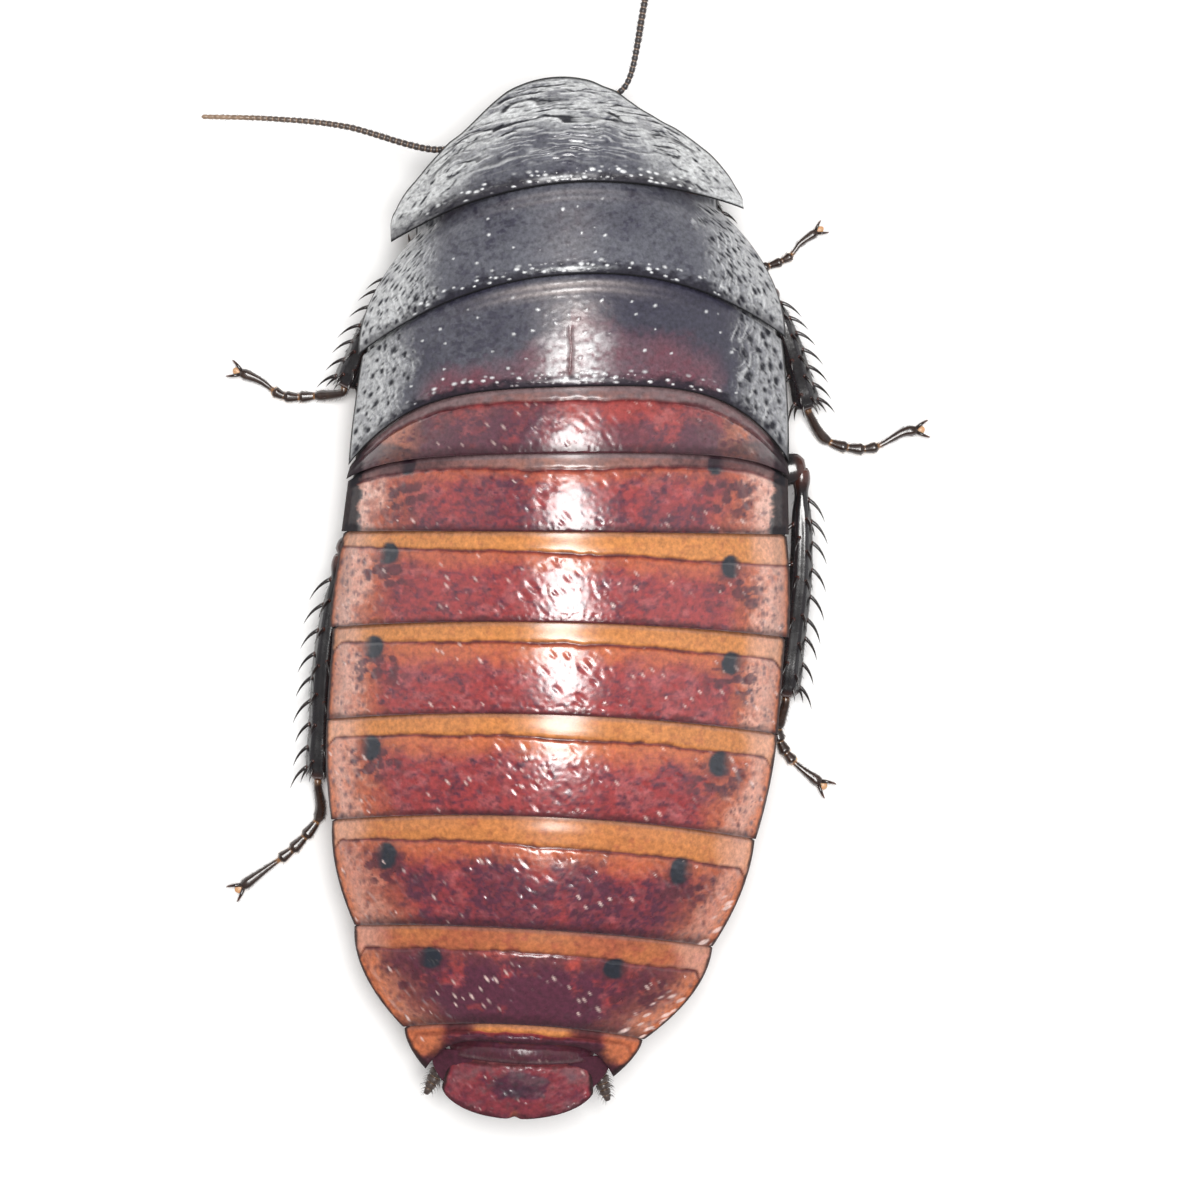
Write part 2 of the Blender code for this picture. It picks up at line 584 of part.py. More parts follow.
def make_feelers(collection):
    """Antennae, palps and cerci."""
    black = material("leg_black", BLACK_SHELL, 0.25)
    amber = material("amber_lip", AMBER, 0.4)
    taper = ((0.0, 0.28), (0.04, ANTENNA_BASE), (0.12, 0.28), (1.0, ANTENNA_TIP))
    left = [on_body(1.35, 1.05, 4.7), on_body(3.7, 1.3, 4.4), (7.3, -16.2, 4.5), (13.0, -17.5, 4.8),
            (17.2, -17.95, 4.7), (21.3, -18.1, 4.5)]
    right = [on_body(-1.35, 1.05, 4.7), (-2.1, -19.2, 4.5), (-3.4, -20.3, 4.7), (-4.3, -24.8, 5.1),
             (-5.5, -31.3, 5.0), (-7.5, -39.4, 4.4)]
    make_feeler("antenna_left", left, taper, 16, black, collection)
    make_feeler("antenna_right", right, taper, 16, black, collection)
    palp = ((0.0, 0.26), (0.15, 0.36), (0.35, 0.3), (0.5, 0.36), (0.66, 0.28), (0.9, 0.38), (1.0, 0.24))
    for side, name in ((1, "left"), (-1, "right")):
        jaw = [on_body(side * 1.9, 3.5, 2.5), on_body(side * 3.0, 2.9, 1.5), on_body(side * 3.4, 1.6, 1.6),
               on_body(side * 2.7, 0.6, 1.0)]
        make_feeler(f"maxillary_palp_{name}", jaw, palp, 10, amber, collection)
        lip = [on_body(side * 0.8, 4.4, 1.75), on_body(side * 1.3, 4.5, 0.95),
               on_body(side * 1.6, 3.6, 0.7)]
        make_feeler(f"labial_palp_{name}", lip, palp, 7, amber, collection)
        tail = [on_body(side * 4.3, 56.6, 4.4), on_body(side * 4.8, 57.6, 4.35),
                on_body(side * 5.25, 58.55, 4.3)]
        cone = ((0.0, 0.5), (0.5, 0.5), (1.0, 0.26))
        make_feeler(f"cercus_{name}", tail, cone, 6, material("cercus_grey", CERCUS_GREY, 0.5), collection)


def new_collection(name):
    """Collection linked to the scene."""
    made = bpy.data.collections.new(name)
    bpy.context.scene.collection.children.link(made)
    return made


for old in list(bpy.data.objects):
    bpy.data.objects.remove(old, do_unlink=True)
roach = new_collection("hissing_cockroach")
guides = new_collection("cutters")
make_back(roach)
make_belly(roach)
make_head(roach)
make_feelers(roach)
make_legs(roach, guides)
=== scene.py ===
import math

import bpy
import numpy as np
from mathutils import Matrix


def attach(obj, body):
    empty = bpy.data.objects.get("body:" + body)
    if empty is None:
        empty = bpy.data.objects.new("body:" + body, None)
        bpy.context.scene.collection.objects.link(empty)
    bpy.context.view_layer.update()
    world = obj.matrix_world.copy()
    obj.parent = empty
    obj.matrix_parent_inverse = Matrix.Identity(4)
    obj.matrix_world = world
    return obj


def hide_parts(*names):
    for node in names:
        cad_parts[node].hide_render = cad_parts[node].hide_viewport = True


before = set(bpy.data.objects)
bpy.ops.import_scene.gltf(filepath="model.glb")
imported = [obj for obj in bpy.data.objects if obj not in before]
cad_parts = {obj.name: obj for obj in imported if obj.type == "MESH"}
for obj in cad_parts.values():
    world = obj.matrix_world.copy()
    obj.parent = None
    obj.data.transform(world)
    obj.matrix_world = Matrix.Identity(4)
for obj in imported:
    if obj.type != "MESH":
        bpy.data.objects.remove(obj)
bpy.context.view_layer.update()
print("frame loaded:", len(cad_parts), "solids")

mm = 0.001  # shapes are worked out in millimetres, then scaled once
leastLevel = 0.004  # nothing hangs lower than this above the floor

# stations are millimetres back from the nose, across is towards the animal's left
bodyPlan = {
    "noseY": -20.15,
    "length": 60.0,
    "waistX": -0.09,
    "waistAt": 15.5,
    "noseSwing": 0.87,
    "tailSwing": 3.34,
    "swingPower": 1.5,
    "turnAt": [0.0, 8.5, 15.4, 22.0, 26.0, 40.0, 52.0, 60.0],
    "turn": [-4.6, -4.6, -2.3, -0.5, 0.4, 2.2, 3.4, 1.8],
    "crestAt": [0.0, 2.0, 4.0, 6.7, 11.9, 18.5, 26.2, 36.3, 42.0, 48.4, 54.0, 60.0],
    "crest": [6.4, 8.9, 10.7, 11.8, 12.9, 13.5, 13.8, 13.6, 12.7, 11.1, 8.8, 5.9],
    "marginAt": [0.0, 8.5, 50.0, 60.0],
    "margin": [6.4, 5.9, 5.8, 5.6],
    "bellyAt": [4.0, 21.0, 26.0, 34.0, 46.0, 56.0, 60.0],
    "belly": [4.2, 4.2, 3.8, 3.1, 3.0, 3.8, 4.6],
    "domePower": 0.8,
    "bellyPower": 0.5,
    "tileStep": 0.3,
}


def curveThrough(xs, ys, at):
    # cubic Hermite curve through the points, with slopes from their neighbours
    xs, ys = np.asarray(xs, float), np.asarray(ys, float)
    slopes = np.gradient(ys, xs)
    at = np.clip(at, xs[0], xs[-1])
    k = np.clip(np.searchsorted(xs, at, side="right") - 1, 0, len(xs) - 2)
    span = xs[k + 1] - xs[k]
    t = (at - xs[k]) / span
    level = ys[k] * (1 + 2 * t) * (1 - t) ** 2 + ys[k + 1] * t * t * (3 - 2 * t)
    return level + span * (slopes[k] * t * (1 - t) ** 2 - slopes[k + 1] * t * t * (1 - t))


def clip01(x):
    # x, or 0 where it is below that and 1 where it is above that
    return np.clip(x, 0, 1)


def ramp(low, high, x):
    # smooth step from 0 at low to 1 at high
    t = clip01((x - low) / (high - low))
    return t * t * (3 - 2 * t)


def fall(low, high, x):
    # smooth step from 1 at low to 0 at high
    return 1 - ramp(low, high, x)


def bell(x, width):
    # 1 where x is 0, and e to the minus square of x over the width elsewhere
    return np.exp(-(x / width) ** 2)


def onBody(across, station, level):
    # midline swings as a power of the distance from the waist; lines across the body are turned
    across, station, level = np.broadcast_arrays(np.asarray(across, float), station, level)
    beyond = station - bodyPlan["waistAt"]
    ahead = beyond < 0
    reach = np.where(ahead, bodyPlan["waistAt"], bodyPlan["length"] - bodyPlan["waistAt"])
    swing = np.where(ahead, bodyPlan["noseSwing"], bodyPlan["tailSwing"])
    axis = bodyPlan["waistX"] + swing * (np.abs(beyond) / reach) ** bodyPlan["swingPower"]
    turn = np.radians(curveThrough(bodyPlan["turnAt"], bodyPlan["turn"], station))
    return np.stack([axis + across * np.cos(turn),
                     bodyPlan["noseY"] + station - across * np.sin(turn), level], -1)


def domeLevel(across, station, half):
    # cosine arch from margin to margin, to a power
    out = np.minimum(1.0, np.abs(across) / np.maximum(half, 0.01))
    arch = np.maximum(0.0, np.cos(np.pi / 2 * out))
    edge = curveThrough(bodyPlan["marginAt"], bodyPlan["margin"], station)
    crest = curveThrough(bodyPlan["crestAt"], bodyPlan["crest"], station)
    return edge + (crest - edge) * arch ** bodyPlan["domePower"]


def cellRandom(ix, iy, seed):
    # one number from 0 to 1 for each whole-number cell, from mixed bits
    h = ix.astype(np.int64) * 374761393 + iy.astype(np.int64) * 668265263 + seed * 974634777
    h = h & 0xFFFFFFFF
    h = ((h ^ (h >> 13)) * 1274126177) & 0xFFFFFFFF
    h = ((h ^ (h >> 15)) * 2246822519) & 0xFFFFFFFF
    return ((h ^ (h >> 16)) & 0xFFFFFF) / float(0x1000000)


def softNoise(x, y, seed):
    # random heights on a lattice, blended smoothly, from -1 to 1
    ix, iy = np.floor(x), np.floor(y)
    fx, fy = x - ix, y - iy
    fx, fy = fx * fx * (3 - 2 * fx), fy * fy * (3 - 2 * fy)
    low = cellRandom(ix, iy, seed) * (1 - fx) + cellRandom(ix + 1, iy, seed) * fx
    high = cellRandom(ix, iy + 1, seed) * (1 - fx) + cellRandom(ix + 1, iy + 1, seed) * fx
    return 2 * (low * (1 - fy) + high * fy) - 1


def cloudNoise(x, y, seed, octaves=4):
    # soft noise summed over octaves, each twice as fine and half as strong
    total, size, norm = 0.0, 1.0, 0.0
    for octave in range(octaves):
        fine = 2 ** octave
        total = total + size * softNoise(x * fine + 17.3 * octave, y * fine, seed + octave)
        norm += size
        size *= 0.5
    return total / norm


def pitField(x, y, seed, size, stretch, angle, fill, reach):
    # round dents in jittered cells, drawn out along an angle: depth 0 to 1, a number for each dent;
    # fill is the share of cells that hold one, reach its radius as a share of the cell
    turn = math.radians(angle)
    px = (x * math.cos(turn) + y * math.sin(turn)) / (size * stretch)
    py = (-x * math.sin(turn) + y * math.cos(turn)) / size
    ix, iy = np.floor(px), np.floor(py)
    depth, number = np.zeros_like(px), np.zeros_like(px)
    for ox in (-1, 0, 1):
        for oy in (-1, 0, 1):
            cx, cy = ix + ox, iy + oy
            dx = px - cx - 0.2 - 0.6 * cellRandom(cx, cy, seed)
            dy = py - cy - 0.2 - 0.6 * cellRandom(cx, cy, seed + 1)
            pick = cellRandom(cx, cy, seed + 2)
            radius = reach * (0.55 + 0.6 * cellRandom(cx, cy, seed + 3))
            here = clip01(1 - (dx * dx + dy * dy) / radius ** 2) ** 1.5 * (pick < fill)
            number = np.where(here > depth, pick, number)
            depth = np.maximum(depth, here)
    return depth, number


# a part is its vertices, its faces by corner count and its masks
def outward(verts, faces):
    # volume under each face, as a fan from its first corner; a negative sum is turned over
    volume = 0.0
    for corners in faces:
        p = verts[corners]
        for k in range(1, corners.shape[1] - 1):
            volume += float(np.sum(p[:, 0] * np.cross(p[:, k], p[:, k + 1])))
    return faces if volume >= 0 else [corners[:, ::-1] for corners in faces]


def gridQuads(rows, columns, closed=False):
    # corner indices of a grid's quads; closed joins the last column to the first
    wide = columns if closed else columns - 1
    r, c = np.meshgrid(np.arange(rows - 1), np.arange(wide), indexing="ij")
    here, after = r * columns + c, r * columns + (c + 1) % columns
    return np.stack([here, after, after + columns, here + columns], -1).reshape(-1, 4)


def sheetPart(top, bottom, masks):
    # two grids of the same size, joined by walls round their edge into one closed skin
    rows, columns = top.shape[:2]
    total = rows * columns
    quads = gridQuads(rows, columns)
    # past the midline quads start a corner later, so that their diagonals mirror the other side's
    mirrored = quads[:, 0] % columns >= columns // 2
    quads[mirrored] = np.roll(quads[mirrored], 1, axis=1)
    index = np.arange(total).reshape(rows, columns)
    rim = np.concatenate([index[0, :], index[1:, -1], index[-1, -2::-1], index[-2:0:-1, 0]])
    after = np.roll(rim, -1)
    walls = np.stack([rim, rim + total, after + total, after], -1)
    verts = np.concatenate([top.reshape(-1, 3), bottom.reshape(-1, 3)])
    both = {key: np.tile(np.broadcast_to(value, top.shape[:2]).reshape(-1), 2)
            for key, value in masks.items()}
    return verts, outward(verts, [np.concatenate([quads, quads[:, ::-1] + total, walls])]), both


def tubePart(rings, masks=None):
    # rings of points, one tube after another; each end is a fan to the middle of its last ring
    if rings.ndim == 3:
        rings = rings[None]
    tubes, count, sides = rings.shape[:3]
    size = count * sides + 2
    poles = rings[:, [0, -1]].mean(axis=2)
    verts = np.concatenate([rings.reshape(tubes, -1, 3), poles], 1).reshape(-1, 3)
    side = np.arange(sides)
    after = (side + 1) % sides
    last = (count - 1) * sides
    fans = np.concatenate([np.stack([np.full(sides, size - 2), after, side], -1),
                           np.stack([np.full(sides, size - 1), last + side, last + after], -1)])
    shift = np.arange(tubes)[:, None, None] * size
    quads = (gridQuads(count, sides, True)[None] + shift).reshape(-1, 4)
    fans = (fans[None] + shift).reshape(-1, 3)
    spread = {}
    for key, value in (masks or {}).items():
        value = np.broadcast_to(value, rings.shape[:3])
        ends = value[:, [0, -1]].mean(axis=2)
        spread[key] = np.concatenate([value.reshape(tubes, -1), ends], 1).reshape(-1)
    return verts, outward(verts, [quads, fans]), spread


def addPiece(name, parts, material, nodes=()):
    # parts laid end to end in one mesh, as point attributes too; a mask that a part lacks is 0 there
    keys = sorted({key for part in parts for key in part[2]})
    starts = np.cumsum([0] + [len(part[0]) for part in parts])
    verts = np.concatenate([part[0] for part in parts])
    verts[:, 2] = np.maximum(verts[:, 2], leastLevel)
    faces = [corners + start for part, start in zip(parts, starts) for corners in part[1]]
    loops = np.concatenate([corners.reshape(-1) for corners in faces]).astype(np.int32)
    sizes = np.concatenate([np.full(len(corners), corners.shape[1]) for corners in faces])
    mesh = bpy.data.meshes.new(name)
    mesh.vertices.add(len(verts))
    mesh.vertices.foreach_set("co", (verts * mm).astype(np.float32).reshape(-1))
    mesh.loops.add(len(loops))
    mesh.loops.foreach_set("vertex_index", loops)
    mesh.polygons.add(len(sizes))
    loopStarts = np.concatenate([[0], np.cumsum(sizes)[:-1]])
    mesh.polygons.foreach_set("loop_start", loopStarts.astype(np.int32))
    mesh.polygons.foreach_set("loop_total", sizes.astype(np.int32))
    mesh.update(calc_edges=True)
    mesh.validate()
    mesh.shade_smooth()
    for key in keys:
        layer = mesh.attributes.new(key, "FLOAT", "POINT")
        values = np.concatenate([part[2].get(key, np.zeros(len(part[0]))) for part in parts])
        layer.data.foreach_set("value", values.astype(np.float32))
    mesh.materials.append(material)
    piece = bpy.data.objects.new(name, mesh)
    bpy.context.scene.collection.objects.link(piece)
    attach(piece, "root")
    if nodes:
        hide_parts(*nodes)


def unit(vectors):
    # each vector over its length
    return vectors / np.maximum(np.linalg.norm(vectors, axis=-1, keepdims=True), 1e-9)


def smoothPath(points, count):
    # Catmull-Rom curve through the points, then resampled at even lengths
    points = np.asarray(points, float)
    ends = np.concatenate([[2 * points[0] - points[1]], points, [2 * points[-1] - points[-2]]])
    at = np.linspace(0, len(points) - 1, 12 * len(points))
    k = np.minimum(at.astype(int), len(points) - 2)
    t = (at - k)[:, None]
    p0, p1, p2, p3 = ends[k], ends[k + 1], ends[k + 2], ends[k + 3]
    curve = 0.5 * (2 * p1 + (p2 - p0) * t + (2 * p0 - 5 * p1 + 4 * p2 - p3) * t * t
                   + (3 * p1 - p0 - 3 * p2 + p3) * t ** 3)
    steps = np.linalg.norm(np.diff(curve, axis=0), axis=1)
    walked = np.concatenate([[0], np.cumsum(steps)])
    even = np.linspace(0, walked[-1], count)
    return np.stack([np.interp(even, walked, curve[:, axis]) for axis in range(3)], -1)


def pathFrames(path):
    # direction along the path, level direction across it, and the third one
    ahead = unit(np.gradient(path, axis=0))
    across = unit(np.cross(ahead, np.array([0.0, 0.0, 1.0])))
    return ahead, across, np.cross(across, ahead)


def roundAngles(sides):
    # a whole turn in even steps, from 0
    return np.linspace(0, 2 * np.pi, sides, endpoint=False)


def limbRings(path, wide, deep, sides, swell=0.0):
    # ellipses of half width and half depth along the path; swell grows each point's radius
    _, across, lift = pathFrames(path)
    grow = 1 + np.broadcast_to(swell, (len(path), sides))
    w = (np.asarray(wide)[:, None] * np.cos(roundAngles(sides)) * grow)[..., None]
    d = (np.asarray(deep)[:, None] * np.sin(roundAngles(sides)) * grow)[..., None]
    return path[:, None] + across[:, None] * w + lift[:, None] * d


def spineRings(base, out, ahead, length, radius, lean=0.7, rings=6, sides=6):
    # curved cones: each starts outwards and bends ahead as the square of the way to its tip
    t = np.linspace(0, 1, rings)[None, :, None]
    length = np.broadcast_to(length, (len(base),))[:, None, None]
    o, a = out[:, None], np.broadcast_to(ahead, out.shape)[:, None]
    bend = o * lean * (1.25 * t - 0.35 * t * t) + a * (0.45 * t + 0.38 * t * t)
    path = base[:, None] + length * bend
    along = unit(o * lean * (1.25 - 0.7 * t) + a * (0.45 + 0.76 * t))
    flat = np.broadcast_to(unit(np.cross(out, ahead))[:, None], along.shape)
    third = np.cross(along, flat)
    thick = np.full(len(base), radius)[:, None, None, None] * (1 - 0.96 * t ** 1.3)[..., None]
    angle = roundAngles(sides)[None, None, :, None]
    return path[:, :, None] + thick * (flat[:, :, None] * np.cos(angle)
                                       + third[:, :, None] * np.sin(angle))


def bristlePart(path, wide, deep, count, length, radius, seed, low=0.05, high=0.95, lean=0.75):
    # fine hairs at random places and angles round a limb
    rng = np.random.default_rng(seed)
    ahead, across, lift = pathFrames(path)
    at = rng.uniform(low, high, count) * (len(path) - 1)
    k = at.astype(int)
    angle = rng.uniform(0, 2 * np.pi, count)[:, None]
    w = np.interp(at, np.arange(len(path)), wide)[:, None]
    d = np.interp(at, np.arange(len(path)), deep)[:, None]
    middle = path[k] + (path[np.minimum(k + 1, len(path) - 1)] - path[k]) * (at - k)[:, None]
    out = unit(across[k] * np.cos(angle) + lift[k] * np.sin(angle))
    # bedded a little below the skin
    base = middle + 0.93 * (across[k] * w * np.cos(angle) + lift[k] * d * np.sin(angle))
    forward = unit(ahead[k] - out * np.sum(out * ahead[k], -1, keepdims=True))
    reach = length * rng.uniform(0.6, 1.2, count)
    return tubePart(spineRings(base, out, forward, reach, radius, lean, 4, 3))


def colour(red, green, blue):
    # screen colour, 0 to 255, as scene light
    c = np.array([red, green, blue]) / 255.0
    c = np.where(c <= 0.04045, c / 12.92, ((c + 0.055) / 1.055) ** 2.4)
    return (float(c[0]), float(c[1]), float(c[2]), 1.0)


def setInputs(tree, node, inputs):
    # inputs by socket: a link where an output is given, a fixed value otherwise
    for key, value in inputs.items():
        if isinstance(value, bpy.types.NodeSocket):
            tree.links.new(value, node.inputs[key])
        else:
            node.inputs[key].default_value = value


def addNode(tree, kind, inputs, **settings):
    # settings are the node's own, such as its operation
    node = tree.nodes.new(kind)
    for key, value in settings.items():
        setattr(node, key, value)
    setInputs(tree, node, inputs)
    return node


def stretched(tree, source, least, most, low=0.0, high=1.0):
    # a value that runs from low to high, stretched to run from least to most
    limits = {"From Min": low, "From Max": high, "To Min": least, "To Max": most}
    return addNode(tree, "ShaderNodeMapRange", {"Value": source, **limits}).outputs["Result"]


def chitin(name, base, layers=(), roughness=(0.25, 0.42), coat=0.25, coatRough=0.12, specular=0.5,
           grain=0.12, grainScale=1400.0, micro=0.00001, microScale=7000.0, facets=0.0,
           through=0.0, fades=False):
    # base colour, painted over by each mask in turn, clouded by noise; roughness and bump are noise
    # too; where it fades, the dull mask roughens the surface and thins its coat
    made = bpy.data.materials.new(name)
    made.use_nodes = True
    tree = made.node_tree
    place = tree.nodes.new("ShaderNodeTexCoord").outputs["Object"]
    usual = (0.3, 0.7)  # nearly all of a noise lies between these

    def noise(scale, detail, rough):
        # fractal noise in object space, scale cells to the metre
        inputs = {"Vector": place, "Scale": scale, "Detail": detail, "Roughness": rough}
        return addNode(tree, "ShaderNodeTexNoise", inputs).outputs["Fac"]
    paint = colour(*base)
    for mask, over, strength in layers:
        reader = addNode(tree, "ShaderNodeAttribute", {}, attribute_name=mask).outputs["Fac"]
        amount = addNode(tree, "ShaderNodeMath", {0: reader, 1: strength},
                         operation="MULTIPLY", use_clamp=True).outputs[0]
        paint = addNode(tree, "ShaderNodeMix", {"Factor": amount, "A": paint, "B": colour(*over)},
                        data_type="RGBA").outputs["Result"]
    cloud = stretched(tree, noise(grainScale, 6.0, 0.6), 1.0 - grain, 1.0 + grain, *usual)
    tint = addNode(tree, "ShaderNodeHueSaturation", {"Color": paint, "Value": cloud})
    rough = stretched(tree, noise(grainScale * 0.45, 4.0, 0.65), *roughness, *usual)
    if facets:
        cells = addNode(tree, "ShaderNodeTexVoronoi", {"Vector": place, "Scale": facets})
        height = cells.outputs["Distance"]
    else:
        height = noise(microScale, 3.0, 0.55)
    bump = addNode(tree, "ShaderNodeBump", {"Height": height, "Strength": 0.6, "Distance": micro})
    inputs = {"Base Color": tint.outputs["Color"], "Roughness": rough,
              "Normal": bump.outputs["Normal"], "Specular IOR Level": specular,
              "Coat Weight": coat, "Coat Roughness": coatRough, "Coat IOR": 1.8}
    if fades:
        dull = addNode(tree, "ShaderNodeAttribute", {}, attribute_name="dull").outputs["Fac"]
        either = {0: rough, 1: stretched(tree, dull, 0.0, 0.8)}
        rough = addNode(tree, "ShaderNodeMath", either, operation="MAXIMUM").outputs[0]
        inputs["Roughness"] = rough
        inputs["Coat Weight"] = stretched(tree, dull, coat, 0.0)
    if through:
        inputs.update({"Subsurface Weight": through, "Subsurface Scale": 0.0006,
                       "Subsurface Radius": (1.0, 0.4, 0.2)})
    setInputs(tree, tree.nodes["Principled BSDF"], inputs)
    return made


# how the plates of the back are built up
plateLook = {
    "gap": 0.12,       # bare strip between one plate's lip and the next plate's face
    "lip": 0.14,       # depth of the rear edge's quarter circle
    "edge": 0.24,      # depth of the side edges' quarter circle
    "usualHalf": 12.0,
    "thick": 0.32,
    "under": 0.3,      # the hidden strip draws in by this much at each side
}


def quarterTurn(count):
    # angles of a quarter circle in even steps, without 0
    return np.radians(np.linspace(0, 90, count + 1)[1:])


def plateGrid(front, rear, sideHalf, columns, step, tuck=1.0, lip=plateLook["lip"], clamp=1.0):
    # rows run from under the plate in front to the rear lip; rims bend down a quarter circle;
    # the hidden strip draws in from the margins so that it stays under the plate in front
    edge = plateLook["edge"]
    narrow = edge / plateLook["usualHalf"]
    rim = 1 - narrow + narrow * np.sin(quarterTurn(5))
    u = np.concatenate([-rim[::-1], np.linspace(-(1 - narrow), 1 - narrow, columns), rim]) * clamp
    length = rear(u) - front(u)
    hidden = np.repeat(-tuck * np.linspace(1, 0, 6)[:-1, None], len(u), 1)
    shown = np.linspace(0, 1, max(int(length.max() / step), 6))[:, None] * (length - lip)
    behind = np.concatenate([hidden, shown, length - lip + lip * np.sin(quarterTurn(5))[:, None]])
    t = clip01(behind / length)
    drop = np.zeros_like(behind)
    drop[-5:] = lip * (1 - np.cos(quarterTurn(5)))[:, None]
    q = clip01((np.abs(u) / clamp - (1 - narrow)) / narrow)
    drop = drop + edge * (1 - np.sqrt(np.maximum(0, 1 - q * q)))
    half = sideHalf(t) - plateLook["under"] * ramp(0.0, 0.25, -behind) * (tuck > 0.5)
    u = np.broadcast_to(u, behind.shape)
    return {"u": u, "t": t, "behind": behind, "ahead": length - behind, "drop": drop,
            "station": front(u) + behind, "half": half, "across": u * half,
            "inside": half * (1 - np.abs(u))}


def platePart(grid, relief, masks, thick=plateLook["thick"], reachHalf=None):
    # top skin carries the relief; the lower skin is the plain dome, one thickness down
    across, station, behind = grid["across"], grid["station"], grid["behind"]
    base = domeLevel(across, station, grid["half"] if reachHalf is None else reachHalf)
    dive = 0.06 * fall(0.0, 0.8, behind) + 0.22 * ramp(0.0, 1.0, -behind)
    level = base + bodyPlan["tileStep"] * (grid["t"] - 0.5) - dive
    top = onBody(across, station, level - grid["drop"] + relief)
    bottom = onBody(across, station, level - np.maximum(thick, grid["drop"] + 0.05))
    return sheetPart(top, bottom, masks)


def edgeLine(middle, corner, power):
    # station of an edge across the body, as a power of the share across
    return lambda u: middle + (corner - middle) * np.abs(u) ** power


def plateHalf(first, last, power):
    # half width of a plate from its front corner to its rear corner
    if last > first and power < 1:
        return lambda t: last - (last - first) * (1 - t) ** (1 / power)
    return lambda t: first + (last - first) * t ** power


def wrinkleLines(along, over, seed, period, swing, long):
    # near-parallel wrinkles: height is a cosine of the place over the period, pushed about by noise;
    # also gives a thin valley to paint as shade and a pale crest beside it to paint as a highlight,
    # both broken into lengths
    push = swing * cloudNoise(along / long, over / (2.2 * period), seed, 3)
    phase = 2 * np.pi * (over / period + push)
    broken = ramp(-0.3, 0.12, cloudNoise(along / (0.5 * long), over / period, seed + 4, 2))
    valley = ramp(0.66, 0.93, 0.5 + 0.5 * np.cos(phase)) * broken
    crest = ramp(0.66, 0.96, 0.5 + 0.5 * np.cos(phase - 1.35)) * broken
    return np.cos(phase) * broken, valley, crest


# rear edge: station on the midline, at the corner, power; side: half width in front, behind, power
plateEdges = {
    "hood": ((6.7, 8.4, 1.9), None),
    "mesonotum": ((11.9, 15.4, 2.2), (9.0, 12.3, 0.5)),
    "metanotum": ((18.15, 22.1, 4.0), (12.1, 12.65, 0.6)),
    "tergite_1": ((21.85, 22.95, 6.0), (12.6, 12.75, 1.0)),
    "tergite_2": ((26.2, 26.1, 2.0), (12.65, 12.85, 1.0)),
    "tergite_3": ((31.2, 31.8, 2.0), (12.75, 13.2, 0.5)),
    "tergite_4": ((36.3, 37.2, 2.0), (13.0, 12.95, 1.3)),
    "tergite_5": ((42.0, 43.1, 2.0), (12.95, 12.2, 1.8)),
    "tergite_6": ((48.4, 49.2, 2.0), (12.15, 10.3, 1.8)),
    "tergite_7": ((54.0, 54.8, 2.0), (10.3, 6.95, 1.9)),
    "tergite_8": ((55.1, 57.1, 5.0), (6.85, 5.4, 1.6)),
    "tergite_9": ((56.35, 56.25, 2.0), (4.2, 3.95, 1.0)),
}

graphiteFinish = {
    "base": (92, 93, 102),
    # mask, the colour that it lays over what is there, and how strongly
    "layers": (("dark", (50, 48, 64), 0.9), ("stain", (104, 50, 64), 0.95),
               # pale grey below: painted reflection on the side lobes
               # pale pinkish grey below: painted sheen
               ("haze", (176, 166, 164), 0.8), ("bloom", (204, 206, 207), 0.95),
               # the palest colour below: painted highlight; the near black after it: painted shade in
               # the furrows, pits and creases
               ("crest", (236, 238, 240), 0.9), ("wrinkle", (20, 20, 30), 0.95),
               ("line", (88, 26, 34), 0.85), ("rear", (24, 21, 34), 0.92), ("rim", (8, 8, 12), 0.97)),
    "roughness": (0.3, 0.48),
    "coat": 0.5,
    "coatRough": 0.2,
    "specular": 0.4,
    "grain": 0.36,
    "grainScale": 4200.0,
    "micro": 0.00002,
    "fades": True,
}
graphiteShell = chitin("graphite_shell", **graphiteFinish)

hoodLook = {
    "halfWidth": 10.3,
    # front outline: distance across to the left, and its station
    "outlineAcross": [
        -10.3, -10.24, -10.1, -9.78, -9.47, -9.15, -8.53, -7.88, -7.22, -6.57, -5.92, -5.27, -4.6,
        -4.0, -3.32, -2.65, -2.0, -1.32, -0.65, 0.0, 0.73, 1.43, 2.12, 2.85, 3.58, 4.3, 5.05, 5.78,
        6.5, 7.05, 7.6, 8.43, 9.15, 9.5, 9.78, 10.03, 10.18, 10.27, 10.3],
    "outlineStation": [
        8.4, 8.1, 7.7, 7.08, 6.48, 6.0, 5.2, 4.58, 4.0, 3.48, 3.08, 2.62, 2.15, 1.65, 1.08, 0.75,
        0.4, 0.18, 0.05, 0.0, 0.02, 0.12, 0.3, 0.58, 1.05, 1.6, 2.23, 2.8, 3.25, 3.75, 4.25, 5.1,
        5.83, 6.3, 6.78, 7.22, 7.75, 8.15, 8.4],
    "thick": 0.42,
    "columns": 300,
    "step": 0.06,
    # wrinkles: period, swing, length
    "waves": (0.56, 1.1, 2.6),
    "ripples": (0.31, 1.4, 1.7),
    "folds": (0.62, 1.0, 2.0),
    "wrinkleDepth": 0.06,
    # dents and beads: size, stretch, angle, share of cells filled, radius in its cell
    "dashes": (0.42, 2.4, 28, 0.72, 0.34),
    "specks": (0.24, 1.8, 10, 0.6, 0.4),
    "beads": (0.26, 1.7, 8, 0.8, 0.46),
    "beadNear": (0.1, 0.22),  # they begin this far from the edge, end before beadFar,
    "beadFar": (0.7, 1.1),
    "beadOut": (7.0, 9.0),    # and stop this far from the midline
    # share of the beads painted pale as glints
    "beadPale": 0.3,
    "lipGlint": (0.1, 1.4),       # painted highlight in the middle of the lip: across and half width
    "dashDepth": 0.05,
    "speckDepth": 0.03,
    "beadHeight": 0.09,
    "knobs": ((3.56, 2.95), (-3.06, 2.72)),  # low bumps with a crease that is painted dark as shade: across and station
    "knobHeight": 0.2,
    "creaseDepth": 0.16,
}


